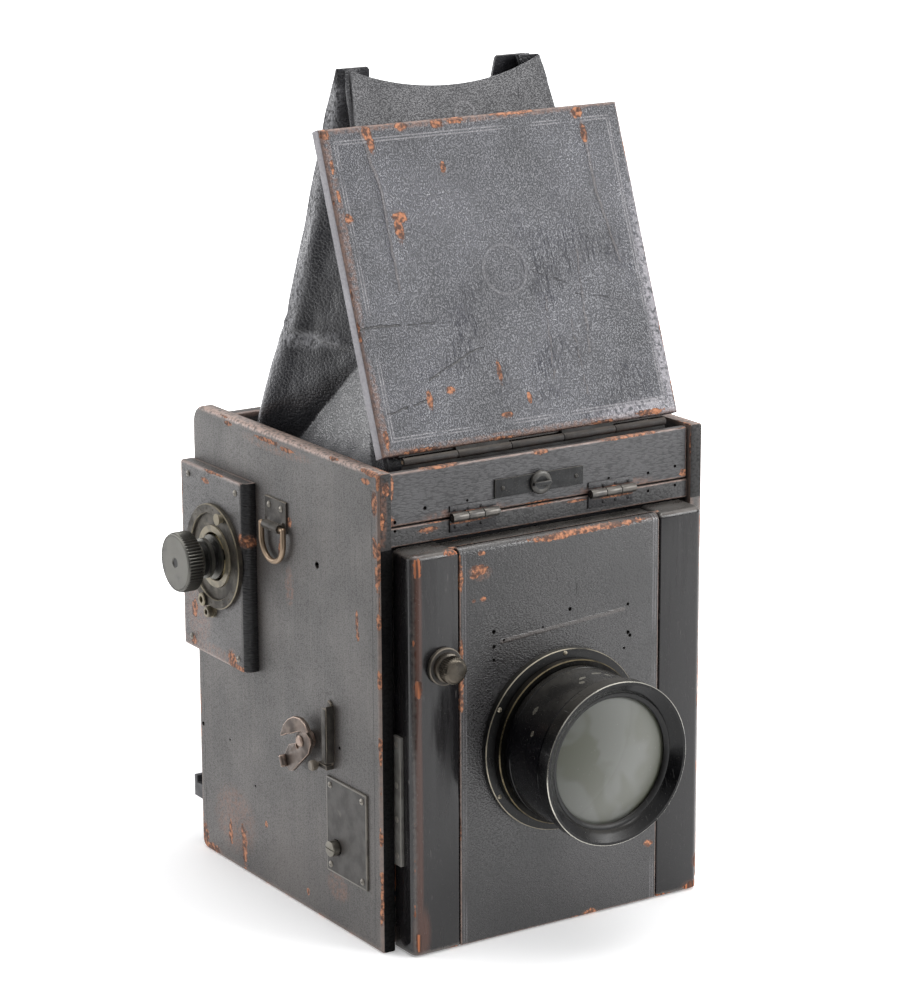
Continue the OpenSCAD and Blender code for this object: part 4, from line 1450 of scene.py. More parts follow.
@dataclass(frozen=True)
class Glass(Finish):
    """Glass with a film of haze, dust and, where ground, a fine tooth; on the front lens, the tint and
    the film are painted reflection.
    """

    tint: Colour
    haze_and_reflection: Colour
    rough: float = 0.03
    clear: float = 0.6
    metallic: float = 0
    swirl: float = 0
    ground: float = 0
    sheen: float = 0.5

    def fields(self, place: Field) -> dict[str, Value]:
        """Builds the colour and the roughness from a swirling film and specks; on the front lens the
        film is painted reflection.

        Args:
            place: The place on the piece.

        Returns:
            What each of the shader's inputs is fed with.
        """
        swirled = place.noise(18, 1.5, "Color").scaled(self.swirl * MM)
        film = place.vector("ADD", swirled).noise(32, 2)
        specks = place.noise(1300, 2).fade(0.74, 0.78)
        colour = film.fade(0.45, 0.55).between(self.tint, self.haze_and_reflection)
        return {
            "Base Color": (specks * 0.5).between(colour, screen(205, 203, 195)),
            "Roughness": film * 0.08 + specks * 0.3 + self.rough, "Transmission Weight": self.clear,
            "Metallic": self.metallic, "IOR": 1.52, "Specular IOR Level": self.sheen,
            "Normal": bump(place.noise(3000, 2) * self.ground + film * 0.4, 0.02),
        }


@dataclass(frozen=True)
class Cloth(Finish):
    """Rubbered black cloth with a plain weave."""

    tint: Colour
    threads: float

    def fields(self, place: Field) -> dict[str, Value]:
        """Builds the colour, the roughness and the height from the weave.

        Args:
            place: The place on the piece.

        Returns:
            What each of the shader's inputs is fed with.
        """
        weave = WEAVE.at(place, Threads=self.threads)["Height"]
        cloud = place.noise(40, 4)
        colour = cloud.between(self.tint, brighter(self.tint, 1.9))
        colour = (weave * 0.3).between(colour, screen(66, 63, 62))
        return {
            "Base Color": dusted(place, colour, 0.3, screen(120, 115, 110))[1],
            "Roughness": weave * 0.15 + 0.68, "Normal": bump(weave + cloud, 0.06), "Sheen Weight": 0.15,
        }


@dataclass(frozen=True)
class Paper(Finish):
    """The studio's white paper, which brightens towards the edge of the view."""

    def fields(self, place: Field) -> dict[str, Value]:
        """Builds the colour and the glow.

        Args:
            place: The place on the piece.

        Returns:
            What each of the shader's inputs is fed with.
        """
        white = place.noise(3).between((0.91, 0.91, 0.91), (0.93, 0.93, 0.93))
        away = place.vector("DISTANCE", ORIGIN).fade(0.22, 0.6)
        seen = Field.source(place.socket.id_data, "LightPath", "Is Camera Ray")
        return {
            "Base Color": white, "Emission Color": white, "Emission Strength": away * seen * 1.2 + 0.25,
            "Roughness": 0.6, "Specular IOR Level": 0.2,
        }


class Palette:
    """The finishes that several sub-assemblies share, each built once."""

    def __init__(self) -> None:
        """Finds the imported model's own plain materials and builds the other shared ones."""
        self.gunmetal, self.bronze, self.brass, self.black_wood, self.bare_wood, self.cloth = (
            bpy.data.materials[slot.value]
            for slot in (Slot.GUNMETAL, Slot.BRONZE, Slot.BRASS, Slot.BLACK_WOOD, Slot.WOOD, Slot.CLOTH)
        )
        # Painted shade: a near-black metal for the lid's hinge, standing for the dark gap between the
        # lid and the flap where it sits.
        self.gap_shade_metal = Metal(
            "blackened_metal", screen(9, 8, 8), screen(16, 13, 11), screen(38, 30, 25), rough=0.6,
            metallic=0.2, scratched=0.1,
        ).material()
        self.dull = Metal(
            "dull_steel", screen(68, 64, 59), screen(46, 43, 40), screen(128, 119, 106), rough=0.46,
            metallic=0.35, pitting=0.5,
        ).material()
        self.screws = Metal(
            "screws", screen(98, 95, 90), screen(62, 58, 54), screen(150, 145, 136), metallic=0.6
        ).material()
        far = {"centre": (0, 0, 120), "half": (300, 300, 300)}
        # Painted shade: a near-black leather for the left board's front edge below the rail, standing
        # for the shadow in the gap beside the stile.
        self.shadowed = Leather(
            "shadowed_edge", **far, tint=screen(8, 8, 8), light=screen(14, 13, 13), rough=0.7,
            sheen=0.1, dust=0.05,
        ).material()
        # Painted shade: a darker, less glossy leather for the gear cover's rolled front edge, standing
        # for the shade on it.
        self.rolled = Leather(
            "rolled_edge", **far, tint=screen(19, 19, 20), light=screen(31, 30, 31), rough=0.36,
            pebbles=520, relief=0.16, stretch=(0.5, 0.5, 2.4), sheen=0.5, dust=0.1,
            torn=((-101, 27, 184.5, 4, 3, 2.6),),
        ).material()
        self.board_edge = Leather(
            "board_edge", **far, tint=screen(24, 23, 23), light=screen(36, 34, 33), rough=0.5,
            sheen=0.5, stained=((-94.6, -92, 224, 2, 3, 12),),
            torn=((-92, -92, 236, 1.6, 3, 2.6), (-94.6, -92, 221, 1.2, 3, 3.4)),
        ).material()
        # Pale leather: the lid's left edge face, and, as a painted highlight, the hood front's top rim.
        self.lid_edge = Leather(
            "lid_edge", **far, tint=screen(150, 147, 152), light=screen(164, 161, 167), rough=0.5,
            relief=0.02, valleys=0.1, dust=0.1,
        ).material()
        self.bellows = Cloth("bellows_cloth", screen(30, 29, 30), 5000).material()
        self.mirror = Glass(
            "mirror_silver", screen(214, 216, 214), screen(170, 172, 168), rough=0.05, clear=0,
            metallic=1, swirl=20,
        ).material()
        self.ground_glass = Glass(
            "ground_glass", screen(196, 200, 194), screen(176, 180, 172), rough=0.4, clear=0.5, swirl=6,
            ground=1,
        ).material()
        self.rear_glass = Glass(
            "rear_glass", screen(150, 156, 144), screen(120, 124, 114), rough=0.05, clear=0.85,
            swirl=10,
        ).material()


# Sub-assemblies of the camera


@dataclass
class Workshop:
    """What every sub-assembly needs: the CAD nodes and the shared finishes."""

    nodes: dict[str, bpy.types.Object]
    palette: Palette

    def softened(
        self, node: str, name: str, width: float, segments: int = 2, angle: float = 30
    ) -> Piece:
        """Copies a CAD node and rounds its sharp edges.

        Args:
            node: The CAD node.
            name: The new piece's name.
            width: How far the rounding reaches.
            segments: How many faces it has.
            angle: The least angle in degrees of an edge that is rounded.

        Returns:
            The piece.
        """
        return Piece.copied(self.nodes[node], name).soften(width, segments, angle)

    def keep(self, node: str, material: bpy.types.Material) -> None:
        """Leaves a CAD node in its shape, in a given material."""
        dress_node(self.nodes[node], material)


def slotted_screw(name: str, axis: Axis, seat: Point, out: float, radius: float = 1.9) -> Piece:
    """Makes a domed screw head with a slot.

    Args:
        name: The screw's name.
        axis: The axis that it stands along.
        seat: The middle of its seat.
        out: 1 or -1: which way along the axis its head faces.
        radius: Its head's radius.

    Returns:
        The screw.
    """
    base = seat[axis.value]
    profile = [
        (0, base - 0.3 * out), (radius, base - 0.3 * out), (radius, base + 0.25 * out),
        (radius * 0.82, base + 0.6 * out), (radius * 0.45, base + 0.85 * out), (0, base + 0.9 * out),
    ]
    head = Piece.turned(name, axis, seat, profile, 20)
    reach = [radius * 1.2] * 3
    reach[(axis.value + 2) % 3] = radius * 0.14
    reach[axis.value] = 0.45
    middle = list(seat)
    middle[axis.value] += 0.9 * out
    low = tuple(m - r for m, r in zip(middle, reach))
    high = tuple(m + r for m, r in zip(middle, reach))
    return head.cut(Piece.block("slot", low, high))


@dataclass
class CoveredCase:
    """The camera's box: side boards, base, rear board and the two rails in front."""

    shop: Workshop
    side_x: float = 96.5
    inner_x: float = 89
    front_y: float = -92
    back_y: float = 92
    height: float = 244
    top_corner: float = 10
    foot_corner: float = 5
    rail_y: float = -89.2
    rail_z: Flat = (206, 215.4)
    lid_rail_y: float = -83.9
    lid_rail_top: float = 237.8
    bulkhead_y: float = -77
    left_holes: tuple[Spot, ...] = on_face(
        Axis.X, -96.5, (-33.6, 185.9, 1.6, 2.2), (88, 70, 1, 1.5), (-53, 96, 0.9, 1.2),
        (33, 51, 0.7, 0.7), (59, 69, 0.7, 0.7)
    )
    left_torn: tuple[Spot, ...] = on_face(
        Axis.X, -96.5, (14, 239.6, 9, 1), (-6, 238.6, 6, 0.9), (54, 240.6, 3, 1),
        (-80.5, 238.6, 3, 1.2), (-88.4, 229, 2, 5), (-88.6, 207.6, 1.8, 4.6), (-90.2, 193, 1.4, 5.6),
        (-71.1, 165.9, 1.1, 4.2), (-71.8, 159, 1.2, 2), (-90.8, 171, 1.2, 3.4),
        (-90.8, 141.4, 1.2, 3.6), (-91, 108, 0.9, 3), (-91, 60, 0.8, 4), (-91, 20, 0.8, 5),
        (45.4, 13, 1.9, 9), (47.6, 22, 1.2, 3), (60, 18, 1.6, 5.5), (88.5, 7, 3, 6), (80, 2, 7, 2.2),
        (22, 33, 1.2, 1.6), (-7, 202, 1.6, 2.2), (2, 186, 1.7, 4), (-20, 10, 1, 1.4)
    )
    left_stains: tuple[Spot, ...] = on_face(
        Axis.X, -96.5, (55, 26, 14, 12), (6, 237.6, 22, 2.4), (-6, 168, 3, 7), (-60, 60, 6, 8),
        (-50, 22, 7, 5)
    )
    rail_holes: tuple[Spot, ...] = (
        (-85.5, -89.2, 214, 0.8, 3, 0.8), (64.6, -89.2, 212.4, 0.8, 3, 0.8),
        (81.4, -89.2, 213.1, 0.8, 3, 0.8),
    )

    def side(self, sign: int) -> None:
        """Builds the left (-1) or right (1) board, with the holes for its shafts.

        Args:
            sign: -1 for the left side or 1 for the right one.
        """
        points = [(self.front_y, 0)]
        for turn, radius, corner in (
            (-90, self.foot_corner, self.foot_corner),
            (0, self.top_corner, self.height - self.top_corner),
        ):
            for step in range(9):
                angle = math.radians(turn + 90 * step / 8)
                y = self.back_y - radius + radius * math.cos(angle)
                points.append((y, corner + radius * math.sin(angle)))
        points.append((self.front_y, self.height))
        name = "left_side" if sign < 0 else "right_side"
        outer, inner = sign * self.side_x, sign * self.inner_x
        board = Piece.outline(name, Axis.X, points, outer, inner)
        board.round_where(lambda a, b: abs(a.x - b.x) < 0.01 and abs(a.x - outer) < 0.01, 1.8, 4)
        board.soften(0.7, 2, 40)
        shafts = [(-51, 43.5, 4.4), (74, 192.4, 3.2)]
        if sign < 0:
            shafts += [(56, 171, 3.4), (-25.5, 93.3, 2.9)]
        for y, z, radius in shafts:
            ends = (outer * 1.1, y, z), (inner * 0.9, y, z)
            board.cut(Piece.rod("bore", *ends, radius, 24))
        if sign < 0:
            board.drill(Axis.X, self.left_holes)
        middle = (sign * (self.side_x + self.inner_x) / 2, 0, self.height / 2)
        finish = Leather(
            f"{name}_leather", centre=middle, half=(3.75, 92, 122), tint=screen(53, 50, 48),
            light=screen(67, 61, 57), worn=screen(122, 102, 92),
            pale=((sign * self.side_x, 0, self.height, 4, 90, 1.3),), faded_and_highlight=screen(206, 176, 162),
            rough=0.42, pebbles=1100, relief=0.03, valleys=0.15, streaks=0.22, rub=2.4,
            torn=self.left_torn if sign < 0 else self.mirrored(self.left_torn[3:14]),
            stained=self.left_stains if sign < 0 else self.mirrored(self.left_stains[1:3]),
            cracks=(
                Crack((-96.5, 86.2, 6), (-96.5, 86.2, 110), 0.35, 0.6),
                Crack((-96.5, -85.8, 4), (-96.5, -85.8, 236), 0.3, 0.5),
            ) if sign < 0 else (),
        )
        node = "left_board" if sign < 0 else "right_board"
        board.split((0, 0, 206), (0, 0, 1))
        board.done(finish.material(), Body.CASE, Slot.COVER, node)
        palette = self.shop.palette
        board.patch(palette.board_edge, lambda at, normal: normal.y < -0.9 and at.z > 206)
        if sign < 0:
            # Painted shade on the left board's front edge below the rail.
            board.patch(palette.shadowed, lambda at, normal: normal.y < -0.9 and at.z < 206)

    @staticmethod
    def mirrored(spots: Sequence[Spot]) -> tuple[Spot, ...]:
        """Moves spots from the left side to the right one."""
        return tuple((-s[0], *s[1:]) for s in spots)

    def base(self) -> None:
        """Builds the base board, with its hole for the tripod bush."""
        low, high = (-self.inner_x, -82.3, 0), (self.inner_x, 84, 8)
        board = Piece.block("base", low, high)
        board.cut(Piece.rod("bush_hole", (0, 0, -1), (0, 0, 9), 12.05, 48))
        board.soften(0.8, 3)
        finish = Leather(
            "base_leather", centre=(0, 0.85, 4), half=(89, 83.2, 4), rough=0.55, rub=3,
            torn=((70, 60, 0, 9, 6, 3), (-60, -70, 0, 12, 4, 3)),
        )
        board.done(finish.material(), Body.CASE, Slot.COVER, "base_board")

    def rear(self) -> None:
        """Builds the rear board, open at the picture gate."""
        board = self.shop.softened("rear_board", "rear", 0.8, 3)
        finish = Leather("rear_leather", centre=(0, 88, 118.5), half=(89, 4, 118.5), rub=2.5)
        board.done(finish.material(), Body.CASE, Slot.COVER, "rear_board")

    def front_rail(self) -> None:
        """Builds the rail above the standard, which carries the flap's hinges."""
        low = (-self.inner_x, self.rail_y, self.rail_z[0])
        high = (self.inner_x, self.bulkhead_y, self.rail_z[1])
        rail = Piece.block("front_rail_cover", low, high)
        rail.inset_where(lambda middle, normal: normal.y < -0.9, 0.7, 0)
        rail.soften(0.6, 3).drill(Axis.Y, self.rail_holes)
        middle = tuple((a + b) / 2 for a, b in zip(low, high))
        finish = Leather(
            "front_rail_leather", centre=middle, half=(89, 6.1, 4.7), rough=0.46, relief=0.06, rub=0.8,
            torn=((-66.7, -89.2, 211.9, 4.2, 3, 1.1), (20, -89.2, 213.8, 5, 3, 0.5)),
        )
        rail.done(finish.material(), Body.CASE, Slot.COVER, "front_rail")

    def lid_rail(self) -> None:
        """Builds the rail behind the flap, which carries the lid's hinge."""
        low = (-self.inner_x, self.lid_rail_y, self.rail_z[1])
        high = (self.inner_x, self.bulkhead_y, self.lid_rail_top)
        rail = Piece.block("lid_rail_cover", low, high).soften(0.7, 3)
        middle = tuple((a + b) / 2 for a, b in zip(low, high))
        finish = Leather("lid_rail_leather", centre=middle, half=(89, 3.4, 11.2), rub=1)
        rail.done(finish.material(), Body.CASE, Slot.COVER, "lid_rail")

    def build(self) -> None:
        """Builds and dresses the whole case."""
        self.side(-1)
        self.side(1)
        self.base()
        self.rear()
        self.front_rail()
        self.lid_rail()


@dataclass
class WindingSide:
    """The raised gear cover on the left, its dial, the winding knob and the gears."""

    shop: Workshop
    cover_x: float = -104
    side_x: float = -96.5
    cover_y: Flat = (26.5, 92)
    cover_z: Flat = (115, 215)
    hub: Flat = (56, 171)
    dial_radius: float = 27.7
    dial_x: float = -106.5
    knob_x: float = -128
    rim_radius: float = 15.2
    ridges: int = 56

    def cover(self) -> None:
        """Builds the leather covered plate with its rolled front edge."""
        low = (self.cover_x, self.cover_y[0], self.cover_z[0])
        high = (self.side_x, self.cover_y[1], self.cover_z[1])
        plate = Piece.block("gear_housing", low, high)
        front, face = self.cover_y[0], self.cover_x
        plate.round_where(
            lambda a, b: abs(a.y - front) + abs(b.y - front) < 0.01
            and abs(a.x - face) + abs(b.x - face) < 0.01,
            5, 8,
        )
        plate.round_where(
            lambda a, b: abs(a.x - b.x) < 0.01 and abs(a.x - face) < 0.01 and a.y != b.y, 1.4, 3
        )
        plate.soften(0.5, 2, 50)
        y, z = self.hub
        plate.cut(Piece.rod("hub_hole", (face - 2, y, z), (face + 9, y, z), 14, 48))
        finish = Leather(
            "gear_housing_leather", centre=(-100.25, 59.25, 165), half=(3.75, 32.75, 50),
            tint=screen(50, 47, 47), light=screen(62, 58, 56), worn=screen(160, 138, 128), rough=0.4,
            pebbles=1100, relief=0.03, valleys=0.15, streaks=0.15, rub=1.6,
            torn=(
                (-104, 29.5, 185, 4, 2.6, 3),
                *on_face(
                    Axis.X, -104, (66, 209, 3, 1.2), (82, 119.5, 2.2, 2.2), (41, 119.8, 3.4, 3.4),
                    (36, 116.5, 7, 1.2), (80, 137, 2.6, 4)
                )
            ),
            stained=((-104, 76, 136, 3, 9, 12), (-104, 66, 118, 3, 20, 3)),
        )
        plate.done(finish.material(), Body.CASE, Slot.COVER, "gear_cover")
        # Painted shade on the rolled front edge.
        plate.patch(
            self.shop.palette.rolled,
            lambda middle, normal: middle.y < front + 5.1 and normal.y < -0.45,
        )

    def dial(self) -> None:
        """Builds the dial: a raised outer ring, a sunk track, its post and two nuts."""
        y, z = self.hub
        radius, back, face = self.dial_radius, self.cover_x + 0.2, self.dial_x
        profile = [
            (12.6, back), (radius, back), (radius, face + 0.5), (radius - 0.5, face),
            (radius - 4.6, face), (radius - 5, face + 0.5), (radius - 5.2, face + 1.7),
            (16.6, face + 1.7), (16.3, face + 0.9), (12.9, face + 0.9), (12.6, face + 1.2),
        ]
        ring = Piece.turned("dial_ring", Axis.X, (0, y, z), profile, 128, ring=True)
        post = Piece.turned(
            "post", Axis.X, (0, y - 11, z + 22.6),
            [
                (0, face + 1), (2.3, face + 1), (2.3, face - 2.1), (3, face - 2.3), (3, face - 3),
                (0, face - 3)
            ],
            32,
        )
        parts = [post]
        for dy, dz, outer in ((9.6, -25, 3.6), (4.6, -30.6, 2.9)):
            parts.append(
                Piece.turned(
                    "nut", Axis.X, (0, y + dy, z + dz),
                    [
                        (outer * 0.45, face + 1.6), (outer, face + 1.6), (outer, face - 1.2),
                        (outer * 0.86, face - 1.7), (outer * 0.5, face - 1.7),
                        (outer * 0.45, face - 0.6),
                    ],
                    24, ring=True,
                )
            )
        tab = Piece.turned(
            "tab", Axis.X, (0, y + 4.6, z - 29.6),
            [(0, back), (4.4, back), (4.4, face + 1.4), (0, face + 1.4)], 32,
        )
        for angle in range(0, 360, 15):
            turn = math.radians(angle + 4)
            dot_y = y + (radius - 2.4) * math.cos(turn)
            dot_z = z + (radius - 2.4) * math.sin(turn)
            mark = Piece.rod("mark", (face - 0.15, dot_y, dot_z), (face + 1, dot_y, dot_z), 0.42, 10)
            parts.append(mark)
        ring.join(tab, *parts).mark_edges()
        finish = Metal(
            "dial_metal", screen(82, 77, 68), screen(52, 48, 43), screen(148, 139, 118), rough=0.4,
            metallic=0.6, pitting=0.5, centre=(0, y, z), across=(0, 1, 1),
        )
        ring.done(finish.material(), Body.CASE, Slot.GUNMETAL, "shutter_dial")

    def knob(self) -> None:
        """Builds the winding knob: a knurled rim, a dished face and a stepped neck."""
        y, z = self.hub
        rim, face = self.rim_radius, self.knob_x
        profile = [
            (0, face + 0.5), (2.4, face + 0.4), (2.9, face), (13.9, face), (14.1, face + 0.25),
            (14.3, face), (14.9, face + 0.2), (rim, face + 0.7), (rim, face + 1.5), (rim, face + 8.4),
            (14.8, face + 9), (10.6, face + 9.4), (10.4, face + 12.2), (9.2, face + 12.6),
            (9, face + 15.6), (10.4, face + 16), (10.4, face + 18), (7.4, face + 18.4),
            (7.4, self.dial_x - 0.4), (11.6, self.dial_x - 0.3), (11.6, self.dial_x + 0.9),
            (3, self.dial_x + 1), (3, self.side_x + 6.8), (0, self.side_x + 6.8),
        ]
        knob = Piece.turned("winding_knob_turned", Axis.X, (0, y, z), profile, self.ridges * 5)
        span = (face + 1.2, face + 8.6)
        knob.knurl(Axis.X, (0, y, z), span, 14, self.ridges, 0.4 / self.rim_radius).mark_edges()
        finish = Enamel(
            "winding_knob_enamel", centre=(0, y, z), across=(0, 1, 1), tint=screen(16, 16, 15),
            bare=screen(104, 103, 98), rough=0.26, chips=0.5, gloss=0.3, dust=0.12,
        )
        knob.done(finish.material(), Body.WINDER, Slot.ENAMEL, "winding_knob")

    def screws(self) -> None:
        """Builds every screw of the side plates, the cover and the lugs."""
        seats = [(self.cover_x, y, z) for y in (34.5, 84) for z in (121, 209)]
        seats += [(-97.7, y, z) for y in (-75.6, -45.3) for z in (33, 75)]
        seats += [(-97.7, -44.2, z) for z in (98.7, 109.7)]
        seats += [(-97.7, y, 207.5) for y in (-1, 11)]
        screws = [slotted_screw("head", Axis.X, seat, -1, 1.7) for seat in seats]
        screws += [slotted_screw("head", Axis.X, (97.7, y, 207.5), 1, 1.7) for y in (-1, 11)]
        first, *rest = screws
        first.join(*rest).mark_edges()
        Piece(first.obj, "side_screws").done(
            self.shop.palette.screws, Body.CASE, Slot.BRONZE, "body_screws"
        )

    def build(self) -> None:
        """Builds and dresses the winding side."""
        self.cover()
        self.dial()
        self.knob()
        self.screws()
        self.shop.keep("winding_gear", self.shop.palette.brass)


@dataclass
class StrapFittings:
    """The strap lugs and the D rings that hang from them, one on each side."""

    shop: Workshop
    side_x: float = 96.5
    bar_x: float = 99.6
    y: float = 5
    bar_z: float = 197.5
    drop: float = 19.1
    half_width: float = 12
    wire: float = 1.45

    def lug(self, sign: int) -> Piece:
        """Builds one lug: a plate whose foot folds round the ring's bar.

        Args:
            sign: -1 for the left side or 1 for the right one.

        Returns:
            The lug.
        """
        face = self.side_x + 1.2
        out = self.bar_x + 2.4
        points = [(self.side_x, 211.5), (face - 0.2, 211.5), (face, 211.2), (face, self.bar_z + 4)]
        for step in range(9):
            angle = math.radians(120 - 30 * step)
            points.append((self.bar_x + 2.4 * math.cos(angle), self.bar_z + 2.4 * math.sin(angle)))
        points += [(self.side_x + 0.8, self.bar_z - 2.2), (self.side_x, self.bar_z - 2.2)]
        low, high = self.y - 10.4, self.y + 10.4
        plate = Piece.outline("lug", Axis.Y, [(sign * x, z) for x, z in points], low, high)
        bar_x = sign * self.bar_x
        plate.cut(
            Piece.rod("bar_hole", (bar_x, low - 1, self.bar_z), (bar_x, high + 1, self.bar_z), 1.5)
        )
        for side in (-1, 1):
            edge = self.y + side * 7.4
            far = self.y + side * 12
            notch = Piece.block(
                "notch", (min(sign * face, sign * (out + 2)), min(edge, far), 190),
                (max(sign * face, sign * (out + 2)), max(edge, far), self.bar_z + 3.4),
            )
            plate.cut(notch)
        return plate.soften(0.3, 2)

    def lugs(self) -> None:
        """Builds both lugs as one piece."""
        pair = self.lug(-1).join(self.lug(1)).mark_edges()
        Piece(pair.obj, "strap_lug_pair").done(
            self.shop.palette.dull, Body.CASE, Slot.GUNMETAL, "strap_lugs"
        )

    def ring(self, sign: int) -> None:
        """Builds one D ring: half a torus, two legs drawn up from it, and the bar.

        Args:
            sign: -1 for the left side or 1 for the right one.
        """
        bow = self.half_width - 1.15
        centre = Vector((sign * self.bar_x, self.y, self.bar_z - (self.drop - 1.15 - bow))) * MM
        bpy.ops.object.select_all(action="DESELECT")
        bpy.ops.mesh.primitive_torus_add(
            location=centre, rotation=(0, math.radians(90), 0), major_radius=bow * MM,
            minor_radius=self.wire * MM, major_segments=64, minor_segments=20,
        )
        name = "left_ring_wire" if sign < 0 else "right_ring_wire"
        ring = Piece.placed(name)
        with opened(ring.obj, "VERT"):
            bpy.ops.mesh.select_all(action="SELECT")
            bpy.ops.mesh.bisect(plane_co=centre, plane_no=(0, 0, 1), clear_outer=True)
        with opened(ring.obj, "EDGE") as mesh:
            for edge in mesh.edges:
                edge.select_set(all(abs(v.co.z - centre.z) < 1e-5 for v in edge.verts))
            bmesh.update_edit_mesh(ring.obj.data)
            rise = (0, 0, self.bar_z * MM - centre.z)
            bpy.ops.mesh.extrude_edges_move(TRANSFORM_OT_translate={"value": rise})
            bpy.ops.mesh.edge_face_add()
        ends = [(sign * self.bar_x, self.y + side * (bow + 0.5), self.bar_z) for side in (-1, 1)]
        bar = Piece.rod("bar", ends[0], ends[1], 1.2, 24)
        for side in (-1, 1):
            middle = (Vector((sign * self.bar_x, self.y + side * bow, self.bar_z))) * MM
            bpy.ops.object.select_all(action="DESELECT")
            bpy.ops.mesh.primitive_uv_sphere_add(
                segments=20, ring_count=12, radius=self.wire * MM, location=middle
            )
            bar.join(Piece.placed("knuckle"))
        ring.join(bar).mark_edges()
        body = Body.LEFT_RING if sign < 0 else Body.RIGHT_RING
        node = "left_d_ring" if sign < 0 else "right_d_ring"
        ring.done(self.shop.palette.bronze, body, Slot.BRONZE, node, sharp=50)

    def build(self) -> None:
        """Builds and dresses the lugs and the rings."""
        self.lugs()
        self.ring(-1)
        self.ring(1)


@dataclass
class ReleaseFittings:
    """The hooked release lever, the guard in front of it and the plate below."""

    shop: Workshop
    side_x: float = -96.5
    lever_x: float = -103
    thick: float = 2
    pivot: Flat = (-25.5, 93.3)
    guard_y: float = -47.4
    guard_z: Flat = (85.7, 119)
    plate_y: Flat = (-79.6, -41.3)
    plate_z: Flat = (29, 79)
    shaft: Flat = (-51, 43.5)
    body_outline: tuple[Flat, ...] = (
        (-9.4, 3.4), (-10, 1), (-7.6, -4.6), (8.4, -18.2), (12.2, -19), (15.4, -16.6), (16.8, -12.4),
        (12, -5), (5.4, -2.6), (4.4, 2.6), (0.4, 5.4), (-4.4, 7),
    )
    claw_outline: tuple[Flat, ...] = (
        (-9.6, 7.6), (-6.2, 11), (-1.6, 12.8), (4.2, 12.2), (9, 9.6), (12.8, 5.8), (15.2, 0.4),
        (15.4, -1), (13, -0.2), (10, 1.4), (6.4, 2.4), (1.4, 4.6), (-4, 6.4), (-8, 6.4),
    )

    def lever(self) -> None:
        """Builds the lever: a plate, a raised claw over it, a rolled thumb and a boss."""
        y, z = self.pivot
        near, far = self.lever_x, self.lever_x + self.thick
        plate = Piece.outline(
            "release_hook", Axis.X, [(y + a, z + b) for a, b in self.body_outline], near, far
        )
        claw = Piece.outline(
            "claw", Axis.X, [(y + a, z + b) for a, b in self.claw_outline], near - 1.3, near + 1.2
        )
        claw.shape(lambda p: Vector((p.x - 0.12 * max(0, p.y - y - 2), p.y, p.z)))
        claw.soften(0.5, 2)
        plate.cut(Piece.rod("eye", (near - 1, y + 3.2, z - 3.4), (far + 1, y + 3.2, z - 3.4), 1.5))
        plate.soften(0.4, 2)
        thumb = Piece.rod(
            "thumb", (near - 1.2, y + 14.2, z - 17.4), (near - 1.2, y + 16.6, z - 11.6), 1.9, 24
        )
        thumb.soften(0.7, 3)
        boss = Piece.turned(
            "boss", Axis.X, (0, y, z),
            [
                (0, near - 1.2), (2.2, near - 1.2), (3, near - 0.6), (3, near + 0.4), (4.5, near + 0.6),
                (4.5, self.side_x - 0.3), (2.5, self.side_x - 0.4), (2.5, -86.4), (0, -86.4),
            ],
            40,
        )
        plate.join(claw, thumb, boss).mark_edges()
        finish = Metal(
            "lever_bronze", screen(112, 100, 92), screen(74, 65, 60), screen(172, 150, 136), rough=0.34,
            metallic=0.65, pitting=0.4,
        )
        plate.done(finish.material(), Body.RELEASE, Slot.BRONZE, "release_lever")

    def guard(self) -> None:
        """Builds the guard: a pointed strip with a turned up flange, and its round peg."""
        y, (low, high) = self.guard_y, self.guard_z
        strip = Piece.outline(
            "release_guard", Axis.X,
            [
                (y, low), (y + 6.2, low), (y + 5.6, low + 6), (y + 5, high - 7), (y + 5.4, high - 3),
                (y + 3.4, high), (y + 0.6, high - 1.4), (y, high - 5),
            ],
            self.side_x, self.side_x - 1.3,
        )
        flange = Piece.outline(
            "flange", Axis.X,
            [
                (y - 1.2, low + 1.5), (y + 0.2, low + 1.5), (y + 0.2, high - 3), (y - 0.6, high - 1.8),
                (y - 1.2, high - 3.4)
            ],
            self.side_x, self.side_x - 5,
        )
        lip = Piece.block(
            "lip", (self.side_x - 5, y - 1.2, low + 1.5), (self.side_x - 3.9, y + 3.6, high - 3.2)
        )
        foot = Piece.block("foot", (self.side_x - 4.6, y, low - 2.2), (self.side_x, y + 8.5, low + 0.3))
        peg = Piece.turned(
            "peg", Axis.X, (0, y + 8.5, low - 1.2),
            [
                (0, self.side_x), (1.4, self.side_x), (1.4, self.side_x - 5.4),
                (2.4, self.side_x - 5.6), (2.7, self.side_x - 6.4), (2.7, self.side_x - 8.2),
                (2.1, self.side_x - 8.9), (0, self.side_x - 9),
            ],
            28,
        )
        strip.join(flange, lip, foot)
        strip.soften(0.35, 2)
        strip.join(peg).mark_edges()
        strip.done(self.shop.palette.dull, Body.CASE, Slot.GUNMETAL, "lever_guard")

    def plate(self) -> None:
        """Builds the thin square plate round the focusing shaft's round end."""
        low = (self.side_x - 1.2, self.plate_y[0], self.plate_z[0])
        high = (self.side_x, self.plate_y[1], self.plate_z[1])
        plate = Piece.block("shaft_plate", low, high)
        plate.inset_where(lambda middle, normal: normal.x < -0.9, 0.9, 0)
        plate.soften(0.35, 2)
        y, z = self.shaft
        plate.cut(Piece.rod("eye", (-100, y, z), (-90, y, z), 4.25, 32))
        plate.mark_edges()
        finish = Metal(
            "plate_metal", screen(62, 59, 56), screen(56, 53, 51), screen(120, 115, 106), rough=0.42,
            metallic=0.12, pitting=0.15,
        )
        plate.done(finish.material(), Body.CASE, Slot.GUNMETAL, "bearing_plate")

    def build(self) -> None:
        """Builds and dresses the release fittings."""
        self.lever()
        self.guard()
        self.plate()


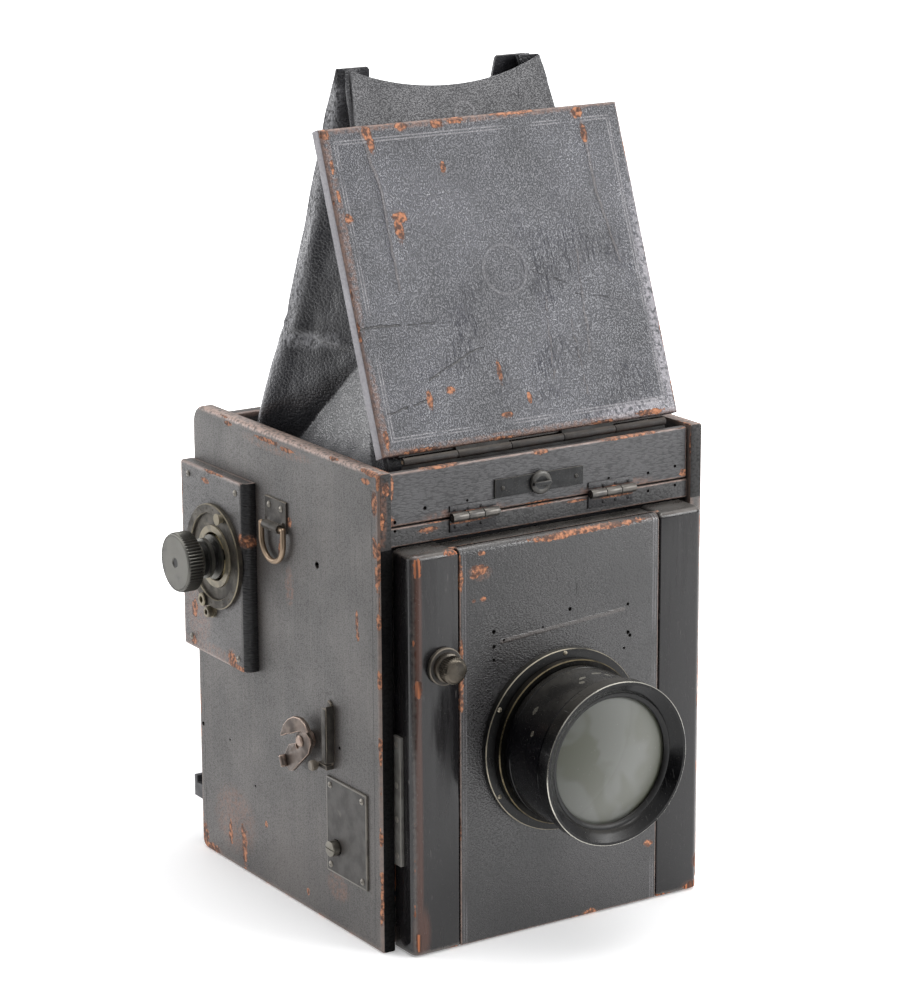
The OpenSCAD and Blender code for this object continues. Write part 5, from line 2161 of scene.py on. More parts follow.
@dataclass
class FrontStandard:
    """The front standard: two glossy stiles, the lens panel between them and the racks."""

    shop: Workshop
    front_y: float = -106
    back_y: float = -87.3
    foot: float = 1
    top: float = 205
    half: float = 86.6
    seam: float = 59.5
    axis_z: float = 98.6
    hole: float = 36.7
    clamp: Flat = (-69, 148)
    panel_holes: tuple[Spot, ...] = on_face(
        Axis.Y, -106, (-39.7, 160.1, 0.9, 1.3), (-39.7, 152.5, 0.8, 1.2), (-39.7, 145.8, 0.8, 0.9),
        (-33.8, 155, 0.6, 0.9), (40.6, 161.2, 0.8, 0.9), (40.8, 146.5, 0.9, 1.1),
        (38.4, 138.6, 0.7, 0.7), (42, 144.7, 0.6, 1.3), (-10.8, 157.8, 0.6, 0.6), (5.4, 164.4, 1.6, 0.5)
    )
    panel_torn: tuple[Spot, ...] = (
        (17, -104.5, 203.2, 27, 3, 1.1), (-4, -104.5, 202.4, 9, 3, 1.2),
        (-46.8, -105, 201, 1.6, 3, 1.1), (18.6, -105, 1.5, 3.6, 3, 1.6),
        *on_face(
            Axis.Y, -106, (-48.5, 192.6, 4, 2.2), (-51, 190, 2, 1), (-46, 177.8, 1.4, 1),
            (-51.4, 177.6, 0.9, 0.7), (-58.7, 190, 0.9, 5), (-58.7, 153, 0.9, 5), (-58.7, 138, 1.1, 6),
            (-58.7, 127, 1, 3.4), (54.6, 31.5, 2, 1.4)
        )
    )

    def stile(self, sign: int) -> Piece:
        """Builds one stile with its rounded outer and top edges.

        Args:
            sign: -1 for the left side or 1 for the right one.

        Returns:
            The stile.
        """
        low = (min(sign * 60.1, sign * self.half), self.front_y, self.foot)
        high = (max(sign * 60.1, sign * self.half), self.back_y, self.top)
        stile = Piece.block("stile", low, high)
        stile.round_where(
            lambda a, b: abs(a.x - b.x) < 0.01 and abs(abs(a.x) - self.half) < 0.01
            and a.y + b.y < 2 * self.front_y + 1,
            4, 6,
        )
        stile.round_where(
            lambda a, b: abs(a.z - b.z) < 0.01 and abs(a.z - self.top) < 0.01
            and min(a.y, b.y) < self.front_y + 5,
            3, 5,
        )
        return stile.soften(0.8, 3, 40)

    def frame(self) -> None:
        """Builds the stiles and the board behind the panel as one piece."""
        back = Piece.block("back_board", (-60.3, -100, self.foot), (60.3, self.back_y, self.top - 1))
        low, high = (-45, -110, self.axis_z - 45), (45, -80, self.axis_z + 55)
        back.cut(Piece.block("window", low, high)).soften(0.5, 2)
        left = self.stile(-1)
        x, z = self.clamp
        left.cut(Piece.rod("clamp_hole", (x, -110, z), (x, -95, z), 2.3, 24))
        left.join(self.stile(1), back)
        lacquer = Lacquer(
            "stile_lacquer", centre=(0, (self.front_y + self.back_y) / 2, 103),
            half=(self.half, 9.35, 102), rough=0.13, rub=2,
            torn=(
                (-83.6, -105.8, 199, 1.6, 2, 4.6), (-83.4, -105.8, 138.6, 1.6, 2, 4),
                (-84, -105.6, 8, 1.2, 2, 4), (86.6, -104.5, 190, 1.5, 3, 10),
                (86.6, -104.5, 120, 1.2, 3, 12), (86, -106, 15.8, 2.2, 3, 3),
                (83, -105.5, 2.5, 4.5, 3, 2.2), (-64, -105, 204, 3, 3, 1.2),
            ),
            browned=(
                (-83.2, -106, 165, 1.3, 3, 40), (-83.2, -106, 60, 1.3, 3, 60), (-82, -106, 12, 3, 3, 9),
            ),
        )
        Piece(left.obj, "standard_stiles").done(
            lacquer.material(), Body.STANDARD, Slot.BLACK_WOOD, "standard_frame"
        )

    def panel(self) -> None:
        """Builds the leather covered lens panel with its rounded top."""
        low = (-self.seam, self.front_y, self.foot)
        high = (self.seam, -100.05, self.top)
        panel = Piece.block("covered_panel", low, high)
        panel.round_where(
            lambda a, b: abs(a.z - b.z) < 0.01 and abs(a.z - self.top) < 0.01
            and a.y + b.y < 2 * self.front_y + 1,
            3.8, 7,
        )
        panel.soften(0.55, 3, 40)
        tongue = Piece.block("tongue", (-62.5, -101.9, self.foot), (62.5, -100.05, self.top))
        panel.join(tongue)
        z = self.axis_z
        panel.cut(Piece.rod("lens_hole", (0, -112, z), (0, -96, z), self.hole, 96))
        panel.drill(Axis.Y, self.panel_holes)
        finish = Leather(
            "panel_leather", centre=(0, -103, 103), half=(self.seam, 3, 102), rough=0.27, pebbles=820,
            relief=0.07, valleys=0.25, tooling=0.25, sheen=0.85, rub=0.7, border=1.9,
            border_half=(self.seam, 3, 140), torn=self.panel_torn,
            stained=((-47, -106, 191, 4, 3, 2.6),),
            cracks=(Crack((9, -106, 172), (9.2, -106, 177), 0.4, 0.4),),
            welts=(Crack((-35, -106, 154.6), (38, -106, 159), 1.5, 1.6),),
        )
        panel.done(finish.material(), Body.LENS, Slot.COVER, "lens_panel")

    def clamp_parts(self) -> None:
        """Builds the small clamp knob and its seat on the left stile."""
        seat = self.shop.softened("clamp_seat", "clamp_washer", 0.5, 3)
        seat.mark_edges().done(self.shop.palette.dull, Body.STANDARD, Slot.GUNMETAL, "clamp_seat")
        x, z = self.clamp
        face = -118
        profile = [
            (0, face), (4.8, face), (5.6, face + 0.3), (6, face + 0.9), (6.6, face + 1.4),
            (6.7, face + 5.4), (6.2, face + 6), (6.3, face + 6.4), (7.2, face + 6.9), (7.4, face + 7.6),
            (7.4, face + 9.2), (5, face + 9.45), (2, face + 9.5), (2, -96), (0, -96),
        ]
        knob = Piece.turned("clamp_grip", Axis.Y, (x, 0, z), profile, 180)
        knob.knurl(Axis.Y, (x, 0, z), (face + 1.2, face + 5.6), 6, 36, 0.035).mark_edges()
        finish = Enamel(
            "clamp_enamel", centre=(x, 0, z), tint=screen(8, 8, 8), bare=screen(92, 86, 77), rough=0.2,
            chips=0.3, gloss=0.22, dust=0.05,
        )
        knob.done(finish.material(), Body.CLAMP, Slot.ENAMEL, "clamp_knob")

    def racks(self) -> None:
        """Builds the racks on both sides of the standard and their screws."""
        finish = Metal(
            "rack_metal", screen(110, 108, 104), screen(84, 82, 78), screen(138, 134, 126), rough=0.5,
            metallic=0.15, pitting=0.3,
        ).material()
        for node, name in (("left_rack", "left_rack_bar"), ("right_rack", "right_rack_bar")):
            bar = self.shop.softened(node, name, 0.22, 2).mark_edges()
            bar.done(finish, Body.STANDARD, Slot.GUNMETAL, node)
        seats = [(side * 88.7, -93.5, z) for side in (-1, 1) for z in (50.6, 69.4, 87, 108)]
        heads = []
        for seat in seats:
            out = 1 if seat[0] > 0 else -1
            head = slotted_screw("head", Axis.X, (seat[0] - 0.15 * out, *seat[1:]), out, 1.6)
            heads.append(head)
        first, *rest = heads
        first.join(*rest).mark_edges()
        first.shape(lambda p: Vector((max(-88.9, min(88.9, p.x)), p.y, p.z)))
        Piece(first.obj, "rack_screw_heads").done(
            self.shop.palette.screws, Body.STANDARD, Slot.BRONZE, "rack_screws"
        )

    def focusing(self) -> None:
        """Builds the focusing shaft with its slotted end, and the knob on the right."""
        shaft = self.shop.softened("focusing_shaft", "focusing_rod", 0.25, 2)
        shaft.cut(Piece.block("slot", (-103, -58, 43.1), (-101.4, -44, 43.9)))
        shaft.mark_edges().done(
            self.shop.palette.gunmetal, Body.FOCUSING, Slot.GUNMETAL, "focusing_shaft"
        )
        y, z = -51, 43.5
        profile = [
            (4.5, 96.8), (7, 96.8), (7, 101.2), (12.6, 101.4), (13.6, 102), (13.8, 103), (13.8, 108.6),
            (13.2, 110), (11.4, 111), (10.6, 111.4), (10.2, 112), (3, 112), (2.6, 111.3), (0, 111.3),
        ]
        knob = Piece.turned("focusing_grip", Axis.X, (0, y, z), profile, 240)
        knob.knurl(Axis.X, (0, y, z), (102.4, 109.2), 13, 48, 0.014).mark_edges()
        finish = Enamel(
            "focusing_enamel", centre=(0, y, z), across=(0, 1, 1), tint=screen(44, 43, 42),
            bare=screen(120, 116, 108), rough=0.34, chips=0.3,
        )
        knob.done(finish.material(), Body.FOCUSING, Slot.ENAMEL, "focusing_knob")

    def bellows(self) -> None:
        """Builds the pleated bellows between the standard and the bulkhead."""
        start, end, pleats = -86.9, -77.1, 4
        wide, low, high, corner = 82, 14, 184, 6

        def place(u: float, v: float) -> Vector:
            """Gives a point of the pleated tube.

            Args:
                u: The share of the way round.
                v: The share of the way back to the bulkhead.

            Returns:
                The point.
            """
            fold = abs(2 * ((v * pleats) % 1) - 1)
            inset = 3.4 * (1 - fold) if 0.001 < v < 0.999 else 0
            half_x, half_z = wide - inset, (high - low) / 2 - inset
            angle = math.tau * u
            cosine, sine = math.cos(angle), math.sin(angle)
            scale = min(half_x / max(abs(cosine), 1e-6), half_z / max(abs(sine), 1e-6))
            x, z = scale * cosine, scale * sine
            over = min(half_x - abs(x), half_z - abs(z))
            squeeze = 1 - 0.012 * max(0, 1 - over / corner) * abs(cosine * sine) * 2
            return Vector((x * squeeze, start + (end - start) * v, (low + high) / 2 + z * squeeze))

        tube = Piece.sheet("bellows_cloth", 240, pleats * 8, place).outward()
        tube.modify("SOLIDIFY", thickness=0.5 * MM, offset=-1)
        tube.dress(self.shop.palette.bellows, Slot.CLOTH, "bellows", sharp=60)
        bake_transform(tube.obj)

    def build(self) -> None:
        """Builds and dresses the standard and what drives it."""
        self.frame()
        self.panel()
        self.clamp_parts()
        self.racks()
        self.focusing()
        self.bellows()


@dataclass
class PortraitLens:
    """The lens: its flange, barrel, aperture ring, front rim and glass."""

    shop: Workshop
    axis_z: float = 98.6
    flange: float = 46.8
    neck: float = 36
    ring: float = 42.3
    barrel: float = 39.6
    rim: float = 41.5
    front: float = -154.8
    bore: float = 33.5

    def turned(self, name: str, profile: Sequence[Flat], ring: bool = True) -> Piece:
        """Turns a profile of radii and places round the lens's axis."""
        return Piece.turned(name, Axis.Y, (0, 0, self.axis_z), profile, 160, ring)

    def mount(self) -> None:
        """Builds the flange with its bevelled edge and its screws."""
        flange = self.turned(
            "lens_mount",
            [
                (self.neck + 0.1, -106), (self.flange, -106), (self.flange, -109.1),
                (self.flange - 0.4, -109.5), (43.6, -110), (self.neck + 0.1, -110),
            ],
        )
        screws = []
        for angle in range(30, 360, 60):
            turn = math.radians(angle)
            x, z = 44.85 * math.cos(turn), self.axis_z + 44.85 * math.sin(turn)
            screws.append(slotted_screw("screw", Axis.Y, (x, -109.5, z), -1, 1.3))
        flange.join(*screws).mark_edges()
        finish = Enamel(
            "mount_enamel", centre=(0, 0, self.axis_z), tint=screen(14, 14, 14),
            bare=screen(176, 168, 150), rough=0.26, chips=0.3, gloss=0.3, dust=0.3,
        )
        flange.shape(lambda p: Vector((p.x, max(p.y, -110.4), p.z)))
        flange.done(finish.material(), Body.LENS, Slot.ENAMEL, "lens_flange")

    def aperture(self) -> None:
        """Builds the finely milled aperture ring."""
        radius = self.ring
        ring = self.turned(
            "milled_ring",
            [
                (self.neck + 0.2, -110.7), (radius, -110.7), (radius, -114.1), (radius - 0.5, -114.6),
                (self.neck + 0.2, -114.6),
            ],
        ).mark_edges()
        finish = Metal(
            "milled_ring_metal", screen(26, 25, 23), screen(20, 19, 18), screen(112, 101, 76),
            rough=0.32, pitting=0.3, centre=(0, 0, self.axis_z),
        )
        ring.done(finish.material(), Body.APERTURE, Slot.GUNMETAL, "aperture_ring")

    def tube(self) -> None:
        """Builds the barrel: its neck, its tube and the fine step behind the rim."""
        barrel = self.turned(
            "lens_tube",
            [
                (self.bore, -92), (self.neck, -92), (self.neck, -115), (38.6, -115), (39.3, -115.2),
                (self.barrel, -115.7), (self.barrel, -119), (39.2, -119.3), (39.2, -120),
                (self.barrel, -120.3), (self.barrel, -143.4), (39.1, -143.8), (39.1, -146.4),
                (self.bore, -146.4),
            ],
        )
        finish = Enamel(
            "tube_enamel", centre=(0, 0, self.axis_z), tint=screen(6, 6, 8), bare=screen(186, 182, 168),
            rough=0.12, chips=0.6, gloss=0.28,
            spots=(
                (4, -131, 138, 2.2, 1, 2), (8, -134.5, 137.6, 1.2, 1.4, 2),
                (-6, -133, 138, 1.6, 0.8, 2), (-9, -137, 137.4, 1.2, 1, 2), (-30, -128, 124, 2, 1, 1.4),
                (-36, -134, 115, 2, 0.8, 1.2),
            ),
        )
        barrel.done(finish.material(), Body.LENS, Slot.ENAMEL, "lens_barrel")

    def front_ring(self) -> None:
        """Builds the rim with its worn bright edge and its wide inner bevel."""
        radius, face = self.rim, self.front
        ring = self.turned(
            "front_ring",
            [
                (34.7, -146.4), (radius - 0.4, -146.4), (radius, -146.8), (radius, face + 0.4),
                (radius - 0.4, face), (radius - 1.7, face + 0.1), (36.6, face + 2.6),
                (35.4, face + 3.5), (34.7, face + 4.6),
            ],
        ).mark_edges()
        finish = Enamel(
            "rim_enamel", centre=(0, 0, self.axis_z), tint=screen(7, 7, 8), bare=screen(200, 197, 186),
            rough=0.15, chips=0.4, gloss=0.3,
        )
        ring.done(finish.material(), Body.LENS, Slot.ENAMEL, "front_rim")
        inner = self.turned(
            "glass_ring",
            [
                (32.4, -147.8), (34.6, -147.8), (34.6, -150.3), (33.9, -150.3), (32.6, -149.6),
                (32.2, -149),
            ],
        )
        inner.done(
            Enamel(
                "glass_ring_enamel", centre=(0, 0, self.axis_z), tint=screen(16, 16, 16),
                bare=screen(140, 134, 120), rough=0.3, chips=0.4, gloss=0.3,
            ).material(),
            Body.LENS, Slot.ENAMEL, "lens_retaining_ring",
        )

    def glasses(self) -> None:
        """Gives the two outer elements their glass and the iris its blades' metal."""
        front = self.domed("front_glass", -152.25, 33, 110, -147.4)
        # Painted reflection: the front glass is a nearly opaque grey green with lighter swirls,
        # standing for the surroundings and the lit inside seen in it.
        front.done(
            Glass(
                "coated_glass", screen(78, 80, 69), screen(91, 93, 87), rough=0.42, clear=0.12,
                swirl=60, sheen=0.25,
            ).material(),
            Body.LENS, Slot.GLASS, "front_lens",
        )
        self.shop.keep("rear_lens", self.shop.palette.rear_glass)
        blades = self.shop.softened("iris", "iris_blades", 0.1, 2)
        blades.mark_edges().done(self.shop.palette.gunmetal, Body.LENS, Slot.GUNMETAL, "iris")

    def domed(self, name: str, crown: float, radius: float, sphere: float, back: float) -> Piece:
        """Turns a lens element with a domed front and a flat hidden back.

        Args:
            name: The element's name.
            crown: Where its middle stands.
            radius: Its radius.
            sphere: Its front face's own radius.
            back: Where its back lies.

        Returns:
            The element.
        """
        profile = []
        for step in range(25):
            reach = radius * step / 24
            profile.append((reach, crown + sphere - math.sqrt(sphere**2 - reach**2)))
        profile += [(radius, back), (0, back)]
        return self.turned(name, profile, ring=False)

    def build(self) -> None:
        """Builds and dresses the lens."""
        self.mount()
        self.aperture()
        self.tube()
        self.front_ring()
        self.glasses()


@dataclass
class FrontFlap:
    """The small flap under the lid, its two hinges and the turn button."""

    shop: Workshop
    low: Point = (-88.6, -89.2, 216.3)
    high: Point = (88.6, -84.9, 242.6)
    button: Flat = (-2, 226.9)
    holes: tuple[Spot, ...] = on_face(
        Axis.Y, -89.2, (-85.5, 218.4, 0.9, 1), (-68.4, 223.1, 1, 1), (64.5, 221.8, 0.8, 0.8),
        (81.3, 223, 0.8, 0.8), (-44, 223.4, 0.7, 0.7), (40.2, 222.6, 0.7, 0.7)
    )

    def board(self) -> None:
        """Builds the leather covered flap."""
        board = Piece.block("flap_board", self.low, self.high)
        board.inset_where(lambda middle, normal: normal.y < -0.9, 1.1, 0)
        board.soften(0.9, 4).drill(Axis.Y, self.holes)
        middle = tuple((a + b) / 2 for a, b in zip(self.low, self.high))
        finish = Leather(
            "flap_leather", centre=middle, half=(88.6, 2.15, 13.15), tint=screen(35, 34, 37),
            light=screen(48, 47, 50), rough=0.42, pebbles=800, relief=0.07, valleys=0.25,
            stretch=(0.45, 1, 1.6), rub=1,
            torn=(
                (-60, -88, 242.4, 9, 3, 0.8), (52, -88, 242.4, 14, 3, 0.7),
                *on_face(
                    Axis.Y, -89.2, (-1.3, 241.8, 3.6, 1), (-87.8, 236, 1.3, 5), (-87.8, 219, 1.5, 2),
                    (86.6, 219, 2, 1.4)
                )
            ),
            stained=((-45, -89.2, 218, 16, 3, 2), (44, -89.2, 218, 16, 3, 2)),
        )
        board.done(finish.material(), Body.FLAP, Slot.COVER, "flap")

    def hinges(self) -> None:
        """Builds the leaves and pins of the flap's hinges."""
        cover = Leather(
            "hinge_leather", centre=(0, -89.4, 215.6), half=(300, 300, 300), tint=screen(33, 32, 35),
            light=screen(46, 45, 48),
            torn=tuple((x, -90, z, 9.5, 2, 0.45) for x in (-44, 44) for z in (213.2, 218.2)),
        ).material()
        knuckle = Metal(
            "knuckle_metal", screen(62, 62, 63), screen(45, 44, 43), screen(108, 104, 99), rough=0.4,
            metallic=0.6,
        ).material()
        for node, name, body in (
            ("flap_hinge_lower_leaves", "lower_hinge_leaves", Body.CASE),
            ("flap_hinge_upper_leaves", "upper_hinge_leaves", Body.FLAP),
        ):
            leaves = self.shop.softened(node, name, 0.12, 2)
            z = 211.4 if body is Body.CASE else 219.9
            heads = [
                slotted_screw("screw", Axis.Y, (x + dx, -89.65, z), -1, 1) for x in (-44, 44)
                for dx in (-7.6, 0, 7.6)
            ]
            leaves.join(*heads).mark_edges()
            leaves.shape(lambda p: Vector((p.x, max(p.y, -93.8), p.z)))
            leaves.done(cover, body, Slot.GUNMETAL, node)
            leaves.patch(knuckle, lambda middle, normal: middle.y < -90.7)
        pins = self.shop.softened("flap_hinge_pins", "hinge_pin_ends", 0.2, 2).mark_edges()
        pins.done(knuckle, Body.CASE, Slot.GUNMETAL, "flap_hinge_pins")

    def lock(self) -> None:
        """Builds the turn button and the thin plate that it turns on."""
        plate = self.shop.softened("swivel_plate", "button_plate", 0.3, 2)
        heads = [slotted_screw("screw", Axis.Y, (x, -90.3, 226.9), -1, 1.1) for x in (-24, 19.6)]
        plate.join(*heads).mark_edges()
        finish = Metal(
            "plate_bronze", screen(30, 31, 32), screen(24, 24, 25), screen(84, 82, 78), rough=0.4,
            metallic=0.3, pitting=0.3,
        ).material()
        plate.done(finish, Body.FLAP, Slot.GUNMETAL, "swivel_plate")
        x, z = self.button
        button = Piece.turned(
            "flap_button", Axis.Y, (x, 0, z),
            [
                (0, -92.1), (3.4, -92.1), (3.8, -92.3), (4.4, -92.35), (5.4, -92.1), (5.9, -91.7),
                (6, -91.2), (6, -90.7), (2, -90.6), (2, -89), (0, -89),
            ],
            96,
        )
        lever = Piece.outline(
            "lever", Axis.Y,
            [(-7.6, z - 0.7), (-7.2, z - 1), (2.6, z - 1), (3.2, z), (2.6, z + 1), (-7.2, z + 0.8)],
            -91.7, -93.7,
        ).soften(0.35, 2)
        button.join(lever).mark_edges()
        button.done(finish, Body.LOCK, Slot.GUNMETAL, "turn_button")

    def build(self) -> None:
        """Builds and dresses the flap."""
        self.board()
        self.hinges()
        self.lock()


@dataclass
class TopLid:
    """The tall lid over the viewing hood, with its tooled leather and its hinge."""

    shop: Workshop
    half: float = 88
    foot: float = 3.5
    top: float = 165
    thick: float = 7.5
    lean: float = 20.4
    hinge: Flat = (-84.3, 246)
    roll: float = 2.2
    torn: tuple[Spot, ...] = (
        (-85.4, 0, 162.4, 2.4, 4, 2.4), (87.6, 0, 140, 0.8, 4, 6),
        *on_face(
            Axis.Y, 0, (-62, 161, 2.2, 3), (-60.6, 155.4, 1.5, 3.5), (-84.6, 146, 0.8, 3),
            (-81, 120, 1.9, 1.9), (-84, 132, 0.8, 2.4), (-21, 162.6, 3, 2.2), (-42, 162.6, 2.7, 1.9),
            (-10, 163.4, 4.1, 1.6), (24, 164.2, 10.8, 1.1), (-52.5, 118, 3.2, 2.4),
            (-54, 112.4, 1.8, 4.9), (-22.5, 140, 1.2, 2.6), (-13.2, 36.4, 1.1, 4.3), (-43, 31, 2, 1.5),
            (-55.8, 27.8, 1.4, 3.5), (-13.5, 15, 2.7, 1.1), (1.2, 22, 1.1, 2.2), (62, 161, 2.7, 2.4),
            (64, 150, 1.4, 4.1), (-66, 4.4, 9, 0.9), (-20, 4.2, 6, 0.8), (70, 5.6, 7, 1.2),
            (-84, 12, 1.2, 4)
        )
    )

    @property
    def place(self) -> Matrix:
        """The turn and shift from the lid's own directions to the camera's."""
        shift = Matrix.Translation(Vector((0, *self.hinge)) * MM)
        return shift @ Matrix.Rotation(math.radians(-self.lean), 4, "X")

    def relief(self, x: float, along: float) -> float:
        """Says how far the outer face stands back at a point: its rolled edges and waves.

        Args:
            x: The point's place across the lid.
            along: Its place up the lid.

        Returns:
            How far the face stands back there.
        """
        edge = min(self.half - abs(x), along - self.foot, self.top - along)
        back = 0
        if edge < self.roll:
            back = self.roll - math.sqrt(max(0, self.roll**2 - (self.roll - edge) ** 2))
        wave = noise.noise(Vector((x * 0.035, along * 0.035, 0.3)))
        back += 0.22 + 0.2 * wave
        for line, height in (
            ((-66, 165.7, -60, 132), 0.55), ((-60, 132, -60.5, 83), 0.5),
            ((64, 164.5, 64.5, 120.5), 0.5), ((64.5, 120.5, 70.5, 84), 0.45),
        ):
            start, end = Vector(line[:2]), Vector(line[2:])
            share = max(
                0, min(1, (Vector((x, along)) - start).dot(end - start) / (end - start).length_squared)
            )
            away = (Vector((x, along)) - start - (end - start) * share).length
            back -= height * math.exp(-((away / 1.6) ** 2))
        return max(0, back)

    def board(self) -> None:
        """Builds the lid's board: a relief for its outer face, drawn back to a flat inside."""

        def place(u: float, v: float) -> Vector:
            """Gives a point of the outer face.

            Args:
                u: The share of the way across.
                v: The share of the way up.

            Returns:
                The point.
            """
            x = self.half * self.spread(2 * u - 1)
            middle = (self.foot + self.top) / 2
            along = middle + (self.top - self.foot) / 2 * self.spread(2 * v - 1)
            return Vector((x, self.relief(x, along), along))

        lid = Piece.sheet("lid_board", 150, 140, place)
        with opened(lid.obj, "EDGE") as mesh:
            for edge in mesh.edges:
                edge.select_set(edge.is_boundary)
            bmesh.update_edit_mesh(lid.obj.data)
            bpy.ops.mesh.extrude_edges_move(TRANSFORM_OT_translate={"value": (0, 0, 0)})
            for vertex in mesh.verts:
                if vertex.select:
                    vertex.co.y = (self.thick - 0.7) * MM
            bpy.ops.mesh.extrude_edges_move(TRANSFORM_OT_translate={"value": (0, 0, 0)})
            for vertex in mesh.verts:
                if vertex.select:
                    vertex.co.y = self.thick * MM
                    vertex.co.x -= math.copysign(0.6, vertex.co.x) * MM
                    middle = (self.foot + self.top) / 2 * MM
                    vertex.co.z -= math.copysign(0.6, vertex.co.z - middle) * MM
            bmesh.update_edit_mesh(lid.obj.data)
            bpy.ops.mesh.edge_face_add()
        lid.outward().turn(self.place)
        finish = Leather(
            "lid_leather", centre=(0, self.thick / 2, (self.foot + self.top) / 2),
            half=(self.half, self.thick / 2, (self.top - self.foot) / 2), tint=screen(43, 44, 52),
            light=screen(57, 58, 69), rough=0.33, pebbles=1150, relief=0.12, valleys=0.65, sheen=0.84,
            stretch=(1.3, 1, 0.9), creasing=0.15,
            creased=((38, 0, 56, 30, 6, 44), (-14, 0, 44, 36, 6, 28)), pressed=((1.5, 0, 86.5), 12.5),
            rub=1.7, lean=self.lean, hinge=self.hinge, border=7,
            border_half=(self.half, self.thick, (self.top - self.foot) / 2), torn=self.torn,
            stained=(
                (-85.5, 0, 118, 2, 4, 36), (-85.5, 0, 22, 2, 4, 20), (0, 0, 4.6, 86, 4, 1.8),
                (-20, 0, 163.6, 66, 4, 1.6),
            ),
            cracks=(
                Crack((-88, 0, 66), (-64, 0, 66), 0.9, 3), Crack((-64, 0, 66), (-36, 0, 64), 0.45, 3),
                Crack((-53.6, 0, 37.5), (-28, 0, 48), 0.8, 3),
                Crack((-28, 0, 48), (-15.8, 0, 50.3), 0.6, 2.5),
                Crack((-80, 0, 24), (-56, 0, 28), 0.7, 3), Crack((18, 0, 84), (36, 0, 76), 0.4, 3),
                Crack((40, 0, 70), (60, 0, 66), 0.4, 3),
            ),
            welts=(
                Crack((-66, 0, 165.7), (-60, 0, 132), 1.3, 2),
                Crack((-60, 0, 132), (-60.5, 0, 83), 1.1, 2),
                Crack((64, 0, 164.5), (64.5, 0, 120.5), 1.3, 2),
                Crack((64.5, 0, 120.5), (70.5, 0, 84), 1.1, 2), Crack((46, 0, 92), (42, 0, 40), 1, 5),
                Crack((22, 0, 70), (18, 0, 30), 0.8, 5), Crack((34, 0, 60), (36, 0, 16), 0.8, 5),
            ),
            pale=((85.8, 0, 42, 3.2, 3, 50), (88, 0, 110, 1.3, 3, 36), (70, 0, 8, 20, 3, 3)), dust=0.2,
        )
        lid.done(finish.material(), Body.LID, Slot.COVER, "lid")
        lid.patch(self.shop.palette.lid_edge, lambda at, normal: normal.x < -0.9)

    @staticmethod
    def spread(share: float) -> float:
        """Crowds the grid's lines towards both ends of -1 to 1, where the edges roll."""
        return math.sin(share * math.pi / 2) * 0.8 + share * 0.2

    def hinge_parts(self) -> None:
        """Builds the lid's long hinge and its pin."""
        # Painted shade: the hinge is made near black, like the gap it sits in.
        metal = self.shop.palette.gap_shade_metal
        for node, name, body in (
            ("lid_leaf", "lid_hinge_upper", Body.LID), ("lid_hinge_leaf", "lid_hinge_lower", Body.CASE),
        ):
            leaf = self.shop.softened(node, name, 0.15, 2).mark_edges()
            leaf.done(metal, body, Slot.GUNMETAL, node)
        self.shop.keep("lid_hinge_pin", self.shop.palette.bronze)

    def build(self) -> None:
        """Builds and dresses the lid."""
        self.board()
        self.hinge_parts()


